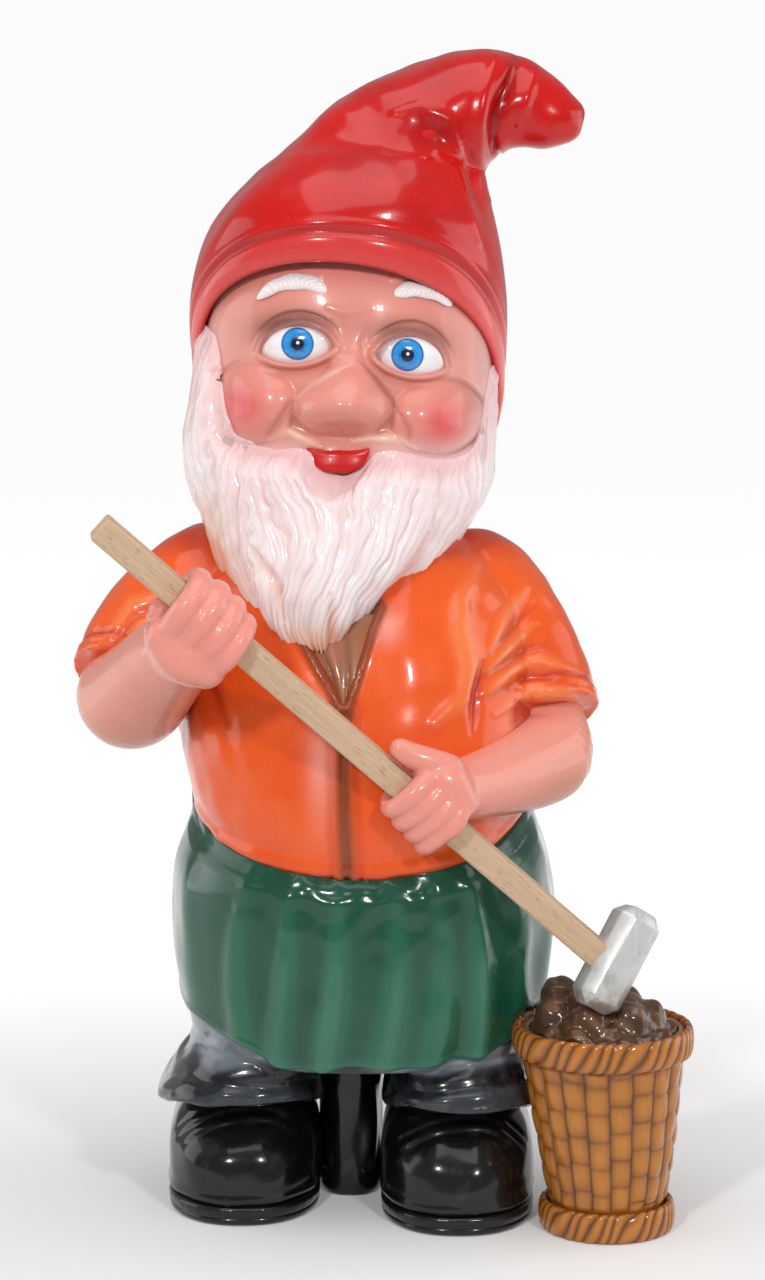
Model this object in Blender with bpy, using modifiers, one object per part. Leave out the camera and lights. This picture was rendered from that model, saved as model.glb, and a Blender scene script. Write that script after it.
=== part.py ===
"""Garden gnome that grips a hammer over a basket of ore, as an assembly of moulded shells.

Metres, +Z up. The figure faces -Y, so its own right hand is at -X. Sculpted places are written in
millimetres for a figure of NOMINAL_HEIGHT, measured from the floor under the middle of the figure,
and figure_point() turns them into metres at the height and girth that are set below.
"""

import math

import bmesh
import bpy
from mathutils import Matrix, Vector

MM = 0.001
UP = Vector((0, 0, 1))

# Overall sizes
NOMINAL_HEIGHT = 680 * MM
FIGURE_HEIGHT = 680 * MM
FIGURE_GIRTH = 1.0  # width and depth of the figure against its height

# Moulding and fits
WALL = 3.5 * MM  # every hollow shell
SEAT_GAP = 0.5 * MM  # between two mouldings that seat on each other
RELIEF_GAP = 0.35 * MM  # behind a small relief that is glued on
RELIEF_HEIGHT = 1.8 * MM
EYE_RADIUS = 12.5 * MM
NECK_RADIUS = 34 * MM
SOLE_HEIGHT = 11 * MM
WELT = 1.5 * MM  # the sole stands this far outside the upper
APRON_THICKNESS = 3.2 * MM
TIE_THICKNESS = 3.0 * MM
TIE_WIDTH = 13 * MM

# Hammer
HANDLE_SIDE = 15 * MM  # square batten
HANDLE_CHAMFER = 1.0 * MM
HANDLE_GAP = 0.5 * MM  # all round, where the batten passes a fist or the hammer's eye

# Ballast filler
PLUG_RADIUS = 6.5 * MM
PLUG_HEAD_RADIUS = 9 * MM
PLUG_HEAD = 3 * MM
PLUG_RECESS = 1.2 * MM
PLUG_LENGTH = 12 * MM
PLUG_GAP = 0.4 * MM
SUPPORT_FLOOR = 7 * MM

# From here on, sizes and places are in nominal millimetres
HANDLE_OVERHANG = 81  # beyond the middle of the upper fist
HANDLE_SOCKET = 0.68  # how deep the batten sits in the hammer's eye, against the head's side
HAMMER_SIDE = 27
HAMMER_ABOVE = 33  # from the head's middle to its free end
HAMMER_BELOW = 30
HAMMER_BEVEL = 6
HAMMER_EYE = (144, -99, 159)
HAMMER_MIDDLE = (147, -98, 160)
HAMMER_AXIS = (0.47, 0.25, 0.84)
RIGHT_FIST = (-78, -153, 361)
LEFT_FIST_SHARE = 0.475  # of the way from the hammer's eye to the right fist
FIST = (27, 22, 21)  # half length along the batten, half height and half depth

BASKET_NEAR_SIDE = 98.5  # where the basket's top comes nearest to the figure
BASKET_HEIGHT = 118
BASKET_TOP_RADIUS = 46.5
BASKET_CENTRE = (BASKET_NEAR_SIDE + BASKET_TOP_RADIUS, -80)
BASKET_BASE_RADIUS = 33
BASKET_WAIST_HEIGHT = 18
ROPE_WIDTH = 8
ROPE_HEIGHT = 17
ORE_DEPTH = 16  # how far the ore reaches down inside the basket
ORE_HEAP = 34  # how far it heaps above the basket's lip

HEAD_CENTRE = (-5, 0, 478)
HEAD_RADII = (85, 85, 110)
HEAD_TRIM = 412  # the head is cut flat here and sits on the jacket's neck
NOSE = (-6, -88, 480), (17, 20, 15)
CHEEK_RIGHT = (-58, -52, 474), (25, 21, 22)
CHEEK_LEFT = (43, -55, 467), (25, 21, 22)
EYE_RIGHT = (-33, -72, 507)
EYE_LEFT = (28, -73, 504)
MOUTH = (-9, -70, 447)
JACKET_TOP = 410

# Height, middle in x, half width, front depth, back depth
TORSO = (
    (195, 2, 80, 99, 72),
    (206, 2, 84, 109, 76),
    (215, 2, 88, 116, 79),
    (232, 2, 93, 119, 82),
    (250, 2, 100, 120, 84),
    (270, 1, 104, 118, 86),
    (300, 0, 104, 113, 86),
    (330, 0, 101, 104, 83),
    (355, -1, 95, 92, 78),
    (378, -2, 83, 77, 70),
    (396, -3, 64, 61, 59),
    (JACKET_TOP, -4, 50, 50, 50),
)
HIPS = (
    (104, 2, 101, 106, 90),
    (128, 3, 105, 111, 96),
    (152, 3, 108, 112, 98),
    (180, 3, 110, 113, 97),
    (206, 3, 107, 115, 93),
    (226, 3, 101, 118, 88),
    (250, 3, 95, 120, 85),
)
# Height, centre x and y, half width, half depth
TROUSER_LEG_RIGHT = (
    (60, -69, -20, 46, 71),
    (76, -67, -20, 47, 72),
    (94, -58, -18, 41, 70),
    (128, -53, -10, 38, 66),
)
TROUSER_LEG_LEFT = (
    (60, 61, -30, 43, 74),
    (76, 61, -30, 44, 75),
    (94, 57, -24, 40, 70),
    (128, 54, -14, 38, 66),
)
# Height above the sole, shift in y, half width, half length
SHOE_UPPER = (
    (0, 0, 44, 63),
    (16, 1, 44.5, 63),
    (30, 5, 43, 58),
    (43, 12, 38, 49),
    (54, 16, 34.5, 42),
    (66, 19, 31, 36),
)
SHOE_RIGHT = (-67, -20)
SHOE_LEFT = (59, -39)
# Centre x, y and z, lean to +X in degrees, half width, half depth, rise of the front edge
HAT = (
    (-5, 0, 482, 6, 89, 86, 73),
    (-5, 1, 511, 3, 93, 88, 62),
    (-3, 2, 541, 2, 90, 86, 46),
    (0, 5, 568, 2, 82.5, 79, 32),
    (7, 8, 596, 2, 69, 68, 18),
    (18, 10, 612, 8, 57.5, 59, 10),
    (35, 10, 629, 20, 46.5, 50, 4),
    (55, 8, 642, 40, 36, 41, 0),
    (78, 5, 648, 74, 31, 33, 0),
    (97, 3, 646, 92, 25, 25, 0),
    (114, 1, 639, 103, 19, 19, 0),
    (125, 0, 636, 106, 11, 11, 0),
)
# Centre, radius
SLEEVE_RIGHT = (((-78, 4, 362), 43), ((-108, -6, 344), 41), ((-131, -24, 318), 34.5))
SLEEVE_LEFT = (((60, 4, 360), 44), ((90, -4, 328), 39.5), ((107, -18, 288), 36.5))
CUFF = 9  # where the sleeve closes on to the arm
UPPER_ARM_RIGHT = (((-108, -6, 350), 24), ((-127, -31, 312), 26))
UPPER_ARM_LEFT = (((78, 2, 340), 23), ((106, -28, 281), 24))
FOREARM_RIGHT = (((-132, -38, 303), 29.5), ((-98, -120, 347), 19))
FOREARM_LEFT = (((110, -36, 270), 26.5), ((62, -108, 259), 17.5))
# Height, middle in x, half width, front depth of the beard
BEARD = (
    (337, -13, 22, 100),
    (350, -18, 38, 107),
    (366, -20, 50, 111),
    (386, -14, 67, 111),
    (408, -10, 79, 107),
    (430, -10, 87, 102),
    (452, -11, 90, 97),
    (476, -9, 90, 91),
    (502, -7, 88, 84),
)
BEARD_BACK = 16  # behind the figure's middle
FACE_OPENING = (-7, 76, 101, 548)  # middle in x, half width, height and top of the beard's opening
WAIST_FRONT = 207
WAIST_RISE = 37  # how much higher the waist line is at the sides
APRON_HEM = 101
APRON_HEM_RISE = 12
APRON_FLARE = 3
APRON_BACK = 14  # the apron's side edges reach this far behind the middle
SHIRT_TOP = 358
SHIRT_BOTTOM = 303
SHIRT_HALF_WIDTH = 21
SUPPORT = (-2.5, 12, 14.5, 37)  # centre x and y, half width, half depth
SUPPORT_TOP = 103

ROUND = 24  # sides of a large turned or lofted body
SMALL_ROUND = 16

scale = FIGURE_HEIGHT / NOMINAL_HEIGHT * MM
girth = scale * FIGURE_GIRTH


def figure_point(x, y, z):
    """A nominal place on the figure, in metres."""
    return Vector((x * girth, y * girth, z * scale))


def clear_scene():
    for obj in list(bpy.data.objects):
        bpy.data.objects.remove(obj, do_unlink=True)


def new_collection(name):
    made = bpy.data.collections.new(name)
    bpy.context.scene.collection.children.link(made)
    return made


def material(name, colour, roughness, metallic=0.0):
    made = bpy.data.materials.new(name)
    made.use_nodes = True
    shader = made.node_tree.nodes["Principled BSDF"]
    shader.inputs["Base Color"].default_value = (*colour, 1)
    shader.inputs["Roughness"].default_value = roughness
    shader.inputs["Metallic"].default_value = metallic
    return made


def add_object(name, mesh, look=None):
    """An object in the gnome's collection, or a hidden cutter where it has no look."""
    obj = bpy.data.objects.new(name, mesh)
    obj.parent = figure
    if look is None:
        obj.hide_render = True
        obj.display_type = "WIRE"
        cutters.objects.link(obj)
        return obj
    mesh.materials.append(look)
    mesh.shade_smooth()
    mesh.set_sharp_from_angle(angle=math.radians(40))
    gnome.objects.link(obj)
    return obj


def mesh_from(bm, name):
    bmesh.ops.recalc_face_normals(bm, faces=bm.faces)
    mesh = bpy.data.meshes.new(name)
    bm.to_mesh(mesh)
    bm.free()
    return mesh


def loft(name, rings, look=None):
    """A closed skin through rings of points, each with as many points, and a point in the middle of each end."""
    bm = bmesh.new()
    rows = [[bm.verts.new(point) for point in ring] for ring in rings]
    for low, high in zip(rows, rows[1:]):
        for i in range(len(low)):
            j = (i + 1) % len(low)
            bm.faces.new((low[i], low[j], high[j], high[i]))
    for row in (rows[0], rows[-1]):
        middle = sum((vertex.co for vertex in row), Vector()) / len(row)
        pole = bm.verts.new(middle)
        for i in range(len(row)):
            bm.faces.new((row[i], row[(i + 1) % len(row)], pole))
    return add_object(name, mesh_from(bm, name), look)


def ball(name, centre, radii, look=None, segments=SMALL_ROUND, rows=10):
    """An ellipsoid, with its centre and radii in metres."""
    bm = bmesh.new()
    bmesh.ops.create_uvsphere(bm, u_segments=segments, v_segments=rows, radius=1)
    place = Matrix.Translation(centre) @ Matrix.Diagonal((*radii, 1))
    bmesh.ops.transform(bm, matrix=place, verts=bm.verts)
    return add_object(name, mesh_from(bm, name), look)


def block(name, low, high, look=None, bevel=0, place=None):
    """A box between two corners in metres, with bevelled edges where asked, then moved by a matrix."""
    bm = bmesh.new()
    bmesh.ops.create_cube(bm, size=1)
    size = Matrix.Diagonal((*(high - low), 1))
    bmesh.ops.transform(bm, matrix=Matrix.Translation((low + high) / 2) @ size, verts=bm.verts)
    if bevel:
        bmesh.ops.bevel(bm, geom=bm.edges[:], offset=bevel, segments=1, affect="EDGES")
    if place:
        bmesh.ops.transform(bm, matrix=place, verts=bm.verts)
    return add_object(name, mesh_from(bm, name), look)


def rod(name, centre, radius, low, high, look=None, segments=ROUND):
    """An upright cylinder between two heights in metres."""
    bm = bmesh.new()
    bmesh.ops.create_cone(
        bm, cap_ends=True, segments=segments, radius1=radius, radius2=radius, depth=high - low
    )
    middle = Matrix.Translation((centre[0], centre[1], (low + high) / 2))
    bmesh.ops.transform(bm, matrix=middle, verts=bm.verts)
    return add_object(name, mesh_from(bm, name), look)


def turned(name, centre, profile, look=None, segments=ROUND):
    """A solid of revolution about an upright line, from a closed outline of (radius, height) points."""
    bm = bmesh.new()
    corners = [bm.verts.new((radius, 0, height)) for radius, height in profile]
    for upper, lower in zip(corners, corners[1:] + corners[:1]):
        if upper.co.x > 0 or lower.co.x > 0:
            bm.edges.new((upper, lower))
    obj = add_object(name, bpy.data.meshes.new(name), look)
    bm.to_mesh(obj.data)
    bm.free()
    obj.location = (centre[0], centre[1], 0)
    screw = obj.modifiers.new("turn", "SCREW")
    screw.steps = screw.render_steps = segments
    screw.use_merge_vertices = True
    screw.merge_threshold = 0.00001
    return obj


def boolean(obj, other, operation):
    modifier = obj.modifiers.new(other.name, "BOOLEAN")
    modifier.operation = operation
    modifier.solver = "EXACT"
    modifier.object = other


def cut(obj, *others):
    for other in others:
        boolean(obj, other, "DIFFERENCE")


def join(obj, *others):
    for other in others:
        boolean(obj, other, "UNION")


def keep_inside(obj, other):
    boolean(obj, other, "INTERSECT")


def angles(count):
    return [2 * math.pi * i / count for i in range(count)]


def oval(angle, half_width, front, back, power=2.3):
    """A rounded outline round the origin: angle 0 is +X and the front is -Y."""
    cosine, sine = math.cos(angle), math.sin(angle)
    x = half_width * math.copysign(abs(cosine) ** (2 / power), cosine)
    y = (back if sine > 0 else front) * math.copysign(abs(sine) ** (2 / power), sine)
    return x, y


def station(table, height):
    """The values of a table between its rows, smoothly."""
    last = len(table) - 1
    i = max(k for k in range(last) if k == 0 or table[k][0] <= height)
    share = (height - table[i][0]) / (table[i + 1][0] - table[i][0])
    values = []
    for column in range(1, len(table[0])):
        points = [table[min(max(i + k, 0), last)][column] for k in (-1, 0, 1, 2)]
        slope_in = (points[2] - points[0]) / 2
        slope_out = (points[3] - points[1]) / 2
        s = min(max(share, 0), 1)
        values.append(
            points[1] * (2 * s**3 - 3 * s**2 + 1)
            + slope_in * (s**3 - 2 * s**2 + s)
            + points[2] * (3 * s**2 - 2 * s**3)
            + slope_out * (s**3 - s**2)
        )
    return values


def body_ring(table, height, grow=0.0, z_of=None):
    """One ring of the torso or the hips, grown in metres. z_of gives a wavy edge its height at each angle."""
    ring = []
    for angle in angles(ROUND):
        z = z_of(angle) if z_of else height
        middle, half_width, front, back = station(table, z)
        x, y = oval(angle, half_width, front, back)
        point = figure_point(middle + x, y, z)
        outward = Vector((x / half_width**2, y / (front if y < 0 else back) ** 2, 0))
        ring.append(point + outward.normalized() * grow)
    return ring


def torso_form(name, grow=0.0, look=None, low=TORSO[0][0], high=TORSO[-1][0]):
    heights = [low, *(row[0] for row in TORSO if low < row[0] < high), high]
    return loft(name, [body_ring(TORSO, z, grow) for z in heights], look)


def waist_line(angle):
    """Height of the waist at an angle round the figure: lowest at the front."""
    return WAIST_FRONT + WAIST_RISE * (1 + math.sin(angle)) ** 0.8 / 2**0.3


def apron_hem(angle):
    """Height of the apron's lower edge, which hangs lowest at the front."""
    return APRON_HEM + APRON_HEM_RISE * abs(math.cos(angle)) ** 2


def hips_form(name, grow=0.0, look=None, above=0.0):
    """The trousers' upper part, from a flat floor up to the waist line or somewhat above it."""
    heights = [row[0] for row in HIPS if row[0] < WAIST_FRONT - 20]
    rings = [body_ring(HIPS, z, grow) for z in heights]
    for share in (0.25, 0.5, 0.75, 1):
        rings.append(
            body_ring(
                HIPS,
                None,
                grow,
                lambda angle, s=share: heights[-1] * (1 - s) + (waist_line(angle) + above) * s,
            )
        )
    return loft(name, rings, look)


def tube_form(
    name, stations, grow=0.0, look=None, stretch=0.0, trim=0.0, round_end=False, sides=SMALL_ROUND
):
    """A limb through (centre, radius) stations. Its start is round, and its far end may be or may be trimmed."""
    centres = [figure_point(*centre) for centre, _ in stations]
    radii = [radius * girth + grow for _, radius in stations]
    start = (centres[1] - centres[0]).normalized()
    finish = (centres[-1] - centres[-2]).normalized()
    rows = []
    for turn in map(math.radians, (80, 55, 28)):
        back = start * (radii[0] * math.sin(turn) + stretch)
        rows.append((centres[0] - back, radii[0] * math.cos(turn), start))
    for i, centre in enumerate(centres[:-1]):
        along = (centres[i + 1] - centres[max(i - 1, 0)]).normalized()
        rows.append((centre, radii[i], along))
    rows.append((centres[-1] - finish * trim, radii[-1], finish))
    if round_end:
        for turn in map(math.radians, (28, 55, 80)):
            ahead = finish * radii[-1] * math.sin(turn)
            rows.append((centres[-1] + ahead, radii[-1] * math.cos(turn), finish))
    rings = []
    for centre, radius, along in rows:
        side = along.cross(UP).normalized()
        other = along.cross(side)
        ring = [side * math.cos(a) + other * math.sin(a) for a in angles(sides)]
        rings.append([centre + spoke * radius for spoke in ring])
    return loft(name, rings, look)


def limb_form(name, stations, grow=0.0, look=None, sides=SMALL_ROUND):
    """A length of arm with both ends round."""
    return tube_form(name, stations, grow, look, round_end=True, sides=sides)


def head_form(name, grow=0.0, look=None):
    """The skull, which is boxier from front to back than an egg so that it fills the cap."""
    half_width, half_depth, half_height = HEAD_RADII
    rings = []
    for turn in (-80, -66, -52, -40, -28, -16, -5, 5, 16, 28, 40, 52, 66, 80):
        turn = math.radians(turn)
        share = math.cos(turn) ** (2 / 2.8)
        lift = math.copysign(abs(math.sin(turn)) ** (2 / 2.8), turn) * (half_height * scale + grow)
        width, depth = half_width * girth + grow, half_depth * girth + grow
        middle = figure_point(*HEAD_CENTRE) + UP * lift
        outline = [oval(a, width * share, depth * share, depth * share, 2.15) for a in angles(ROUND)]
        rings.append([middle + Vector((dx, dy, 0)) for dx, dy in outline])
    return loft(name, rings, look)


def face_features(tag, grow=0.0):
    """The nose and the cheeks."""
    made = []
    for name, place in (("nose", NOSE), ("cheek_right", CHEEK_RIGHT), ("cheek_left", CHEEK_LEFT)):
        centre, radii = place
        grown = [radius * unit + grow for radius, unit in zip(radii, (girth, girth, scale))]
        made.append(ball(name + tag, figure_point(*centre), grown))
    return made


def hat_form(name, grow=0.0, look=None, rows=HAT):
    """The cap as leaning ovals. Each front edge rises by its own amount and each back edge drops."""
    rings = []
    for x, y, z, lean, half_width, half_depth, rise in rows:
        lean = math.radians(lean)
        centre = figure_point(x, y, z)
        across = Vector((math.cos(lean), 0, -math.sin(lean))) * (half_width * girth + grow)
        ring = []
        for angle in angles(ROUND):
            sine = math.sin(angle)
            depth = sine * (half_depth * girth + grow)
            tilt = math.copysign(abs(sine) ** 0.75, -sine) * rise * scale * (0.85 if sine > 0 else 1)
            ring.append(centre + across * math.cos(angle) + Vector((0, depth, tilt)))
        rings.append(ring)
    return loft(name, rings, look)


def leg_form(name, stations, grow=0.0, low=None):
    rings = []
    for z, x, y, half_width, half_depth in stations:
        if low is not None and z == stations[0][0]:
            z = low
        outline = [
            oval(a, half_width * girth + grow, half_depth * girth + grow, half_depth * girth + grow)
            for a in angles(SMALL_ROUND)
        ]
        middle = figure_point(x, y, z)
        rings.append([middle + Vector((dx, dy, 0)) for dx, dy in outline])
    return loft(name, rings)


def frame_of(origin, first, second):
    """A frame with X along first and Y along second, as near as it can be square to X."""
    first = first.normalized()
    second = (second - first * second.dot(first)).normalized()
    turn = Matrix((first, second, first.cross(second))).transposed().to_4x4()
    return Matrix.Translation(origin) @ turn


def handle_length():
    """From the hammer's eye to the middle of the right fist."""
    return (figure_point(*RIGHT_FIST) - figure_point(*HAMMER_EYE)).length


def handle_frame():
    """The batten's own frame: origin in the hammer's eye, X up along the batten, Z towards the front."""
    eye = figure_point(*HAMMER_EYE)
    return frame_of(eye, figure_point(*RIGHT_FIST) - eye, Vector((1, 0, 1)))


def hammer_form(name, grow=0.0, look=None, bevel=0.0):
    """The hammer's head as a block along its own axis, facing the batten."""
    axis = Vector(HAMMER_AXIS).normalized()
    to_fist = figure_point(*RIGHT_FIST) - figure_point(*HAMMER_EYE)
    face = to_fist - axis * to_fist.dot(axis)
    place = frame_of(figure_point(*HAMMER_MIDDLE), face, axis)
    half = hammer_side() / 2 + grow
    low = Vector((-half, -HAMMER_BELOW * girth - grow, -half))
    high = Vector((half, HAMMER_ABOVE * girth + grow, half))
    return block(name, low, high, look, bevel, place)


def hammer_side():
    return max(HAMMER_SIDE * girth, HANDLE_SIDE + 3 * WALL)


def handle_prism(name, grow, low, high, look=None, bevel=0):
    """The batten's square section grown all round, between two places along the batten's X."""
    half = HANDLE_SIDE / 2 + grow
    return block(
        name, Vector((low, -half, -half)), Vector((high, half, half)), look, bevel, handle_frame()
    )


def basket_spot(height=0.0):
    x, y = BASKET_CENTRE
    return Vector((x * girth, y * girth, height))


def basket_clearance(name):
    """The space that the basket and its ropes take, which its neighbours are cut back from."""
    reach = ROPE_WIDTH * girth + RELIEF_GAP + SEAT_GAP
    top = (BASKET_HEIGHT + ROPE_WIDTH) * scale
    below_rope = (BASKET_HEIGHT - ROPE_HEIGHT) * scale - SEAT_GAP
    profile = [
        (0, top),
        (BASKET_TOP_RADIUS * girth + reach, top),
        (BASKET_TOP_RADIUS * girth + reach, below_rope),
        (BASKET_BASE_RADIUS * girth + reach, -WALL),
        (0, -WALL),
    ]
    return turned(name, basket_spot(), profile)


def make_hat():
    """A cap that fits the head snugly, hollow above it."""
    hat = hat_form("hat", look=red)
    cut(hat, head_form("head_in_hat", grow=SEAT_GAP))
    cut(hat, hat_form("hat_hollow", grow=-1.3 * WALL, rows=HAT[2:-2]))


def make_head():
    head = head_form("head", look=skin)
    join(head, *face_features("_on_head"))
    low = figure_point(-200, -200, 0)
    cut(head, block("below_head", low, figure_point(200, 200, HEAD_TRIM)))
    neck_low = figure_point(0, 0, JACKET_TOP - 16).z
    neck_x, neck_y = figure_point(-4, 0, 0).xy
    neck_high = figure_point(0, 0, HEAD_TRIM + 12).z
    join(head, rod("neck", (neck_x, neck_y), NECK_RADIUS, neck_low, neck_high))
    hollow = head_form("head_hollow", grow=-WALL)
    cut(hollow, block("under_hollow", low, figure_point(200, 200, HEAD_TRIM) + UP * WALL))
    cut(head, hollow)
    bore_high = figure_point(0, 0, HEAD_TRIM + 40).z
    cut(head, rod("neck_bore", (neck_x, neck_y), NECK_RADIUS - WALL, neck_low - WALL, bore_high))
    for name, place in (("eye_right", EYE_RIGHT), ("eye_left", EYE_LEFT)):
        centre = figure_point(*place)
        socket = EYE_RADIUS + SEAT_GAP
        cut(head, ball(name + "_socket", centre, [socket] * 3))
        ball(name, centre, [EYE_RADIUS] * 3, white)


def face_relief(name, outline, look):
    """A raised patch on the face: a flat outline of (x, z) places, pushed through to the face's skin."""
    bm = bmesh.new()
    front, back = -150, -20
    near = [bm.verts.new(figure_point(x, front, z)) for x, z in outline]
    far = [bm.verts.new(figure_point(x, back, z)) for x, z in outline]
    bm.faces.new(near)
    bm.faces.new(far[::-1])
    for i in range(len(outline)):
        j = (i + 1) % len(outline)
        bm.faces.new((near[j], near[i], far[i], far[j]))
    relief = add_object(name, mesh_from(bm, name), look)
    keep_inside(relief, head_form(name + "_outside", grow=RELIEF_HEIGHT))
    cut(relief, head_form(name + "_inside", grow=RELIEF_GAP))


def arched_band(x, z, half_length, half_height, arch, tilt):
    """A flat outline of a band with round ends that arches upwards, tilted in degrees."""
    steps = 7
    upper, lower = [], []
    for i in range(steps):
        t = 2 * i / (steps - 1) - 1
        thick = half_height * math.sqrt(max(1 - abs(t) ** 2.4, 0.06))
        middle = arch * (1 - t * t)
        upper.append((t * half_length, middle + thick))
        lower.append((t * half_length, middle - thick))
    turn = math.radians(tilt)
    return [
        (x + a * math.cos(turn) - b * math.sin(turn), z + a * math.sin(turn) + b * math.cos(turn))
        for a, b in upper + lower[::-1]
    ]


def make_face_reliefs():
    face_relief("eyebrow_right", arched_band(-36, 533, 18, 4, 4.5, 12), white)
    face_relief("eyebrow_left", arched_band(34, 530, 16, 4, 4.5, -16), white)
    x, _, z = MOUTH
    steps = 9
    half_width, depth = 16.5, 11
    smile = [(x - half_width, z + 4), (x, z + 2.5), (x + half_width, z + 4)]
    for i in range(1, steps):
        turn = math.pi * i / steps
        smile.append((x + half_width * math.cos(turn), z + 4 - depth * math.sin(turn)))
    face_relief("lips", smile, lip_red)


def make_beard():
    rings = []
    for z, middle, half_width, front in BEARD:
        outline = [oval(a, half_width, front, BEARD_BACK + 30, 2.1) for a in angles(ROUND)]
        rings.append([figure_point(middle + x, y, z) for x, y in outline])
    beard = loft("beard", rings, white)
    x, half_width, height, top = FACE_OPENING
    opening = []
    for y in (-180, -30):
        outline = [oval(a, half_width, height, height, 3.4) for a in angles(SMALL_ROUND)]
        opening.append([figure_point(x + dx, y, top + dz) for dx, dz in outline])
    cut(beard, loft("face_opening", opening))
    mouth_x, mouth_y, mouth_z = MOUTH
    mouth = figure_point(mouth_x, mouth_y - 20, mouth_z - 1)
    cut(beard, ball("mouth_opening", mouth, [radius * scale for radius in (22, 45, 14)]))
    cut(beard, head_form("head_in_beard", grow=SEAT_GAP))
    cut(beard, *face_features("_in_beard", SEAT_GAP))
    behind = figure_point(-150, BEARD_BACK, 300), figure_point(150, BEARD_BACK + 80, 560)
    cut(beard, block("behind_beard", *behind))
    cut(beard, torso_form("torso_in_beard", grow=RELIEF_HEIGHT + SEAT_GAP))
    cut(beard, tube_form("sleeve_right_in_beard", SLEEVE_RIGHT, grow=SEAT_GAP))
    cut(beard, tube_form("sleeve_left_in_beard", SLEEVE_LEFT, grow=SEAT_GAP))
    x, y, z, *rim = HAT[0]
    lower_rim = (x, y, z - 2 * SEAT_GAP / scale, *rim)
    cut(beard, hat_form("hat_in_beard", grow=SEAT_GAP, rows=(lower_rim, *HAT[1:])))


def make_jacket():
    jacket = torso_form("jacket", look=orange)
    cut(jacket, torso_form("jacket_hollow", -WALL, low=TORSO[0][0] - 6, high=JACKET_TOP - 5))
    spot = figure_point(-4, 0, 0).xy
    bore = NECK_RADIUS + SEAT_GAP
    low, high = figure_point(0, 0, JACKET_TOP - 30).z, figure_point(0, 0, JACKET_TOP + 10).z
    cut(jacket, rod("neck_seat", spot, bore, low, high))
    cut(jacket, handle_prism("handle_by_jacket", HANDLE_GAP, 0, handle_length()))


def make_shirt_front():
    """The shirt that shows in the jacket's open collar, as a wedge that lies on the jacket."""
    x = TORSO[-1][1]
    outline = [
        (x - SHIRT_HALF_WIDTH, SHIRT_TOP),
        (x + SHIRT_HALF_WIDTH, SHIRT_TOP),
        (x + 2, SHIRT_BOTTOM),
        (x - 1, SHIRT_BOTTOM),
    ]
    bm = bmesh.new()
    near = [bm.verts.new(figure_point(a, -160, z)) for a, z in outline]
    far = [bm.verts.new(figure_point(a, -20, z)) for a, z in outline]
    bm.faces.new(near)
    bm.faces.new(far[::-1])
    for i in range(len(outline)):
        j = (i + 1) % len(outline)
        bm.faces.new((near[j], near[i], far[i], far[j]))
    shirt = add_object("shirt_front", mesh_from(bm, "shirt_front"), brown)
    keep_inside(shirt, torso_form("shirt_outside", grow=RELIEF_HEIGHT, high=JACKET_TOP + 4))
    cut(shirt, torso_form("shirt_inside", grow=RELIEF_GAP))


def make_sleeve(side, sleeve_stations, upper_arm, forearm):
    """A short sleeve, hollow down to its cuff, which fits the arm."""
    sleeve = tube_form("sleeve_" + side, sleeve_stations, look=orange)
    cut(sleeve, tube_form("sleeve_hollow_" + side, sleeve_stations, -WALL, trim=CUFF * girth))
    cut(sleeve, torso_form("torso_in_sleeve_" + side, grow=SEAT_GAP))
    cut(sleeve, limb_form("upper_arm_in_sleeve_" + side, upper_arm, SEAT_GAP))
    cut(sleeve, limb_form("forearm_in_sleeve_" + side, forearm, SEAT_GAP))


def make_arm(side, upper_arm, forearm, fist_share):
    """A bare arm, hollow to the wrist, with its fist closed round the batten."""
    arm = limb_form("arm_" + side, upper_arm, look=skin)
    middle = handle_length() * fist_share
    half_length = FIST[0] * girth
    least = HANDLE_SIDE / 2 + 1.5 * WALL
    half_height, half_depth = max(FIST[1] * girth, least), max(FIST[2] * girth, least)
    low = Vector((middle - half_length, -half_height, -half_depth))
    high = Vector((middle + half_length, half_height, half_depth))
    fist = block("fist_" + side, low, high, bevel=10 * girth, place=handle_frame())
    join(arm, limb_form("forearm_" + side, forearm), fist)
    cut(arm, torso_form("torso_in_arm_" + side, grow=SEAT_GAP))
    hollow_name = "upper_arm_hollow_" + side
    hollow = tube_form(hollow_name, upper_arm, -2 * WALL, stretch=10 * WALL, sides=14)
    (elbow, thick), (wrist, thin) = forearm
    short = Vector(elbow).lerp(wrist, 0.6), (2 * thick + 3 * thin) / 5
    short_form = limb_form("forearm_hollow_" + side, (forearm[0], short), -1.7 * WALL, sides=14)
    join(hollow, short_form)
    cut(arm, hollow)
    reach = 2 * half_length
    cut(arm, handle_prism("handle_in_" + side, HANDLE_GAP, middle - reach, middle + reach))


def make_trousers():
    """Legs and hips, with a socket at the waist that the jacket stands in."""
    trousers = hips_form("trousers", look=grey, above=-3)
    legs = {"right": TROUSER_LEG_RIGHT, "left": TROUSER_LEG_LEFT}
    join(trousers, *(leg_form("trouser_leg_" + side, rows) for side, rows in legs.items()))
    floor = HIPS[0][0] + WALL / scale
    deck = TORSO[0][0] - 2 * WALL / scale
    heights = (floor, *(row[0] for row in HIPS if floor < row[0] < deck), deck)
    cut(trousers, loft("hips_hollow", [body_ring(HIPS, z, -WALL) for z in heights]))
    for side, rows in legs.items():
        cut(trousers, leg_form("leg_hollow_" + side, rows, -WALL, low=rows[0][0] - 6))
    cut(trousers, torso_form("torso_in_trousers", grow=SEAT_GAP))
    cut(trousers, basket_clearance("basket_by_trousers"))


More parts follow.
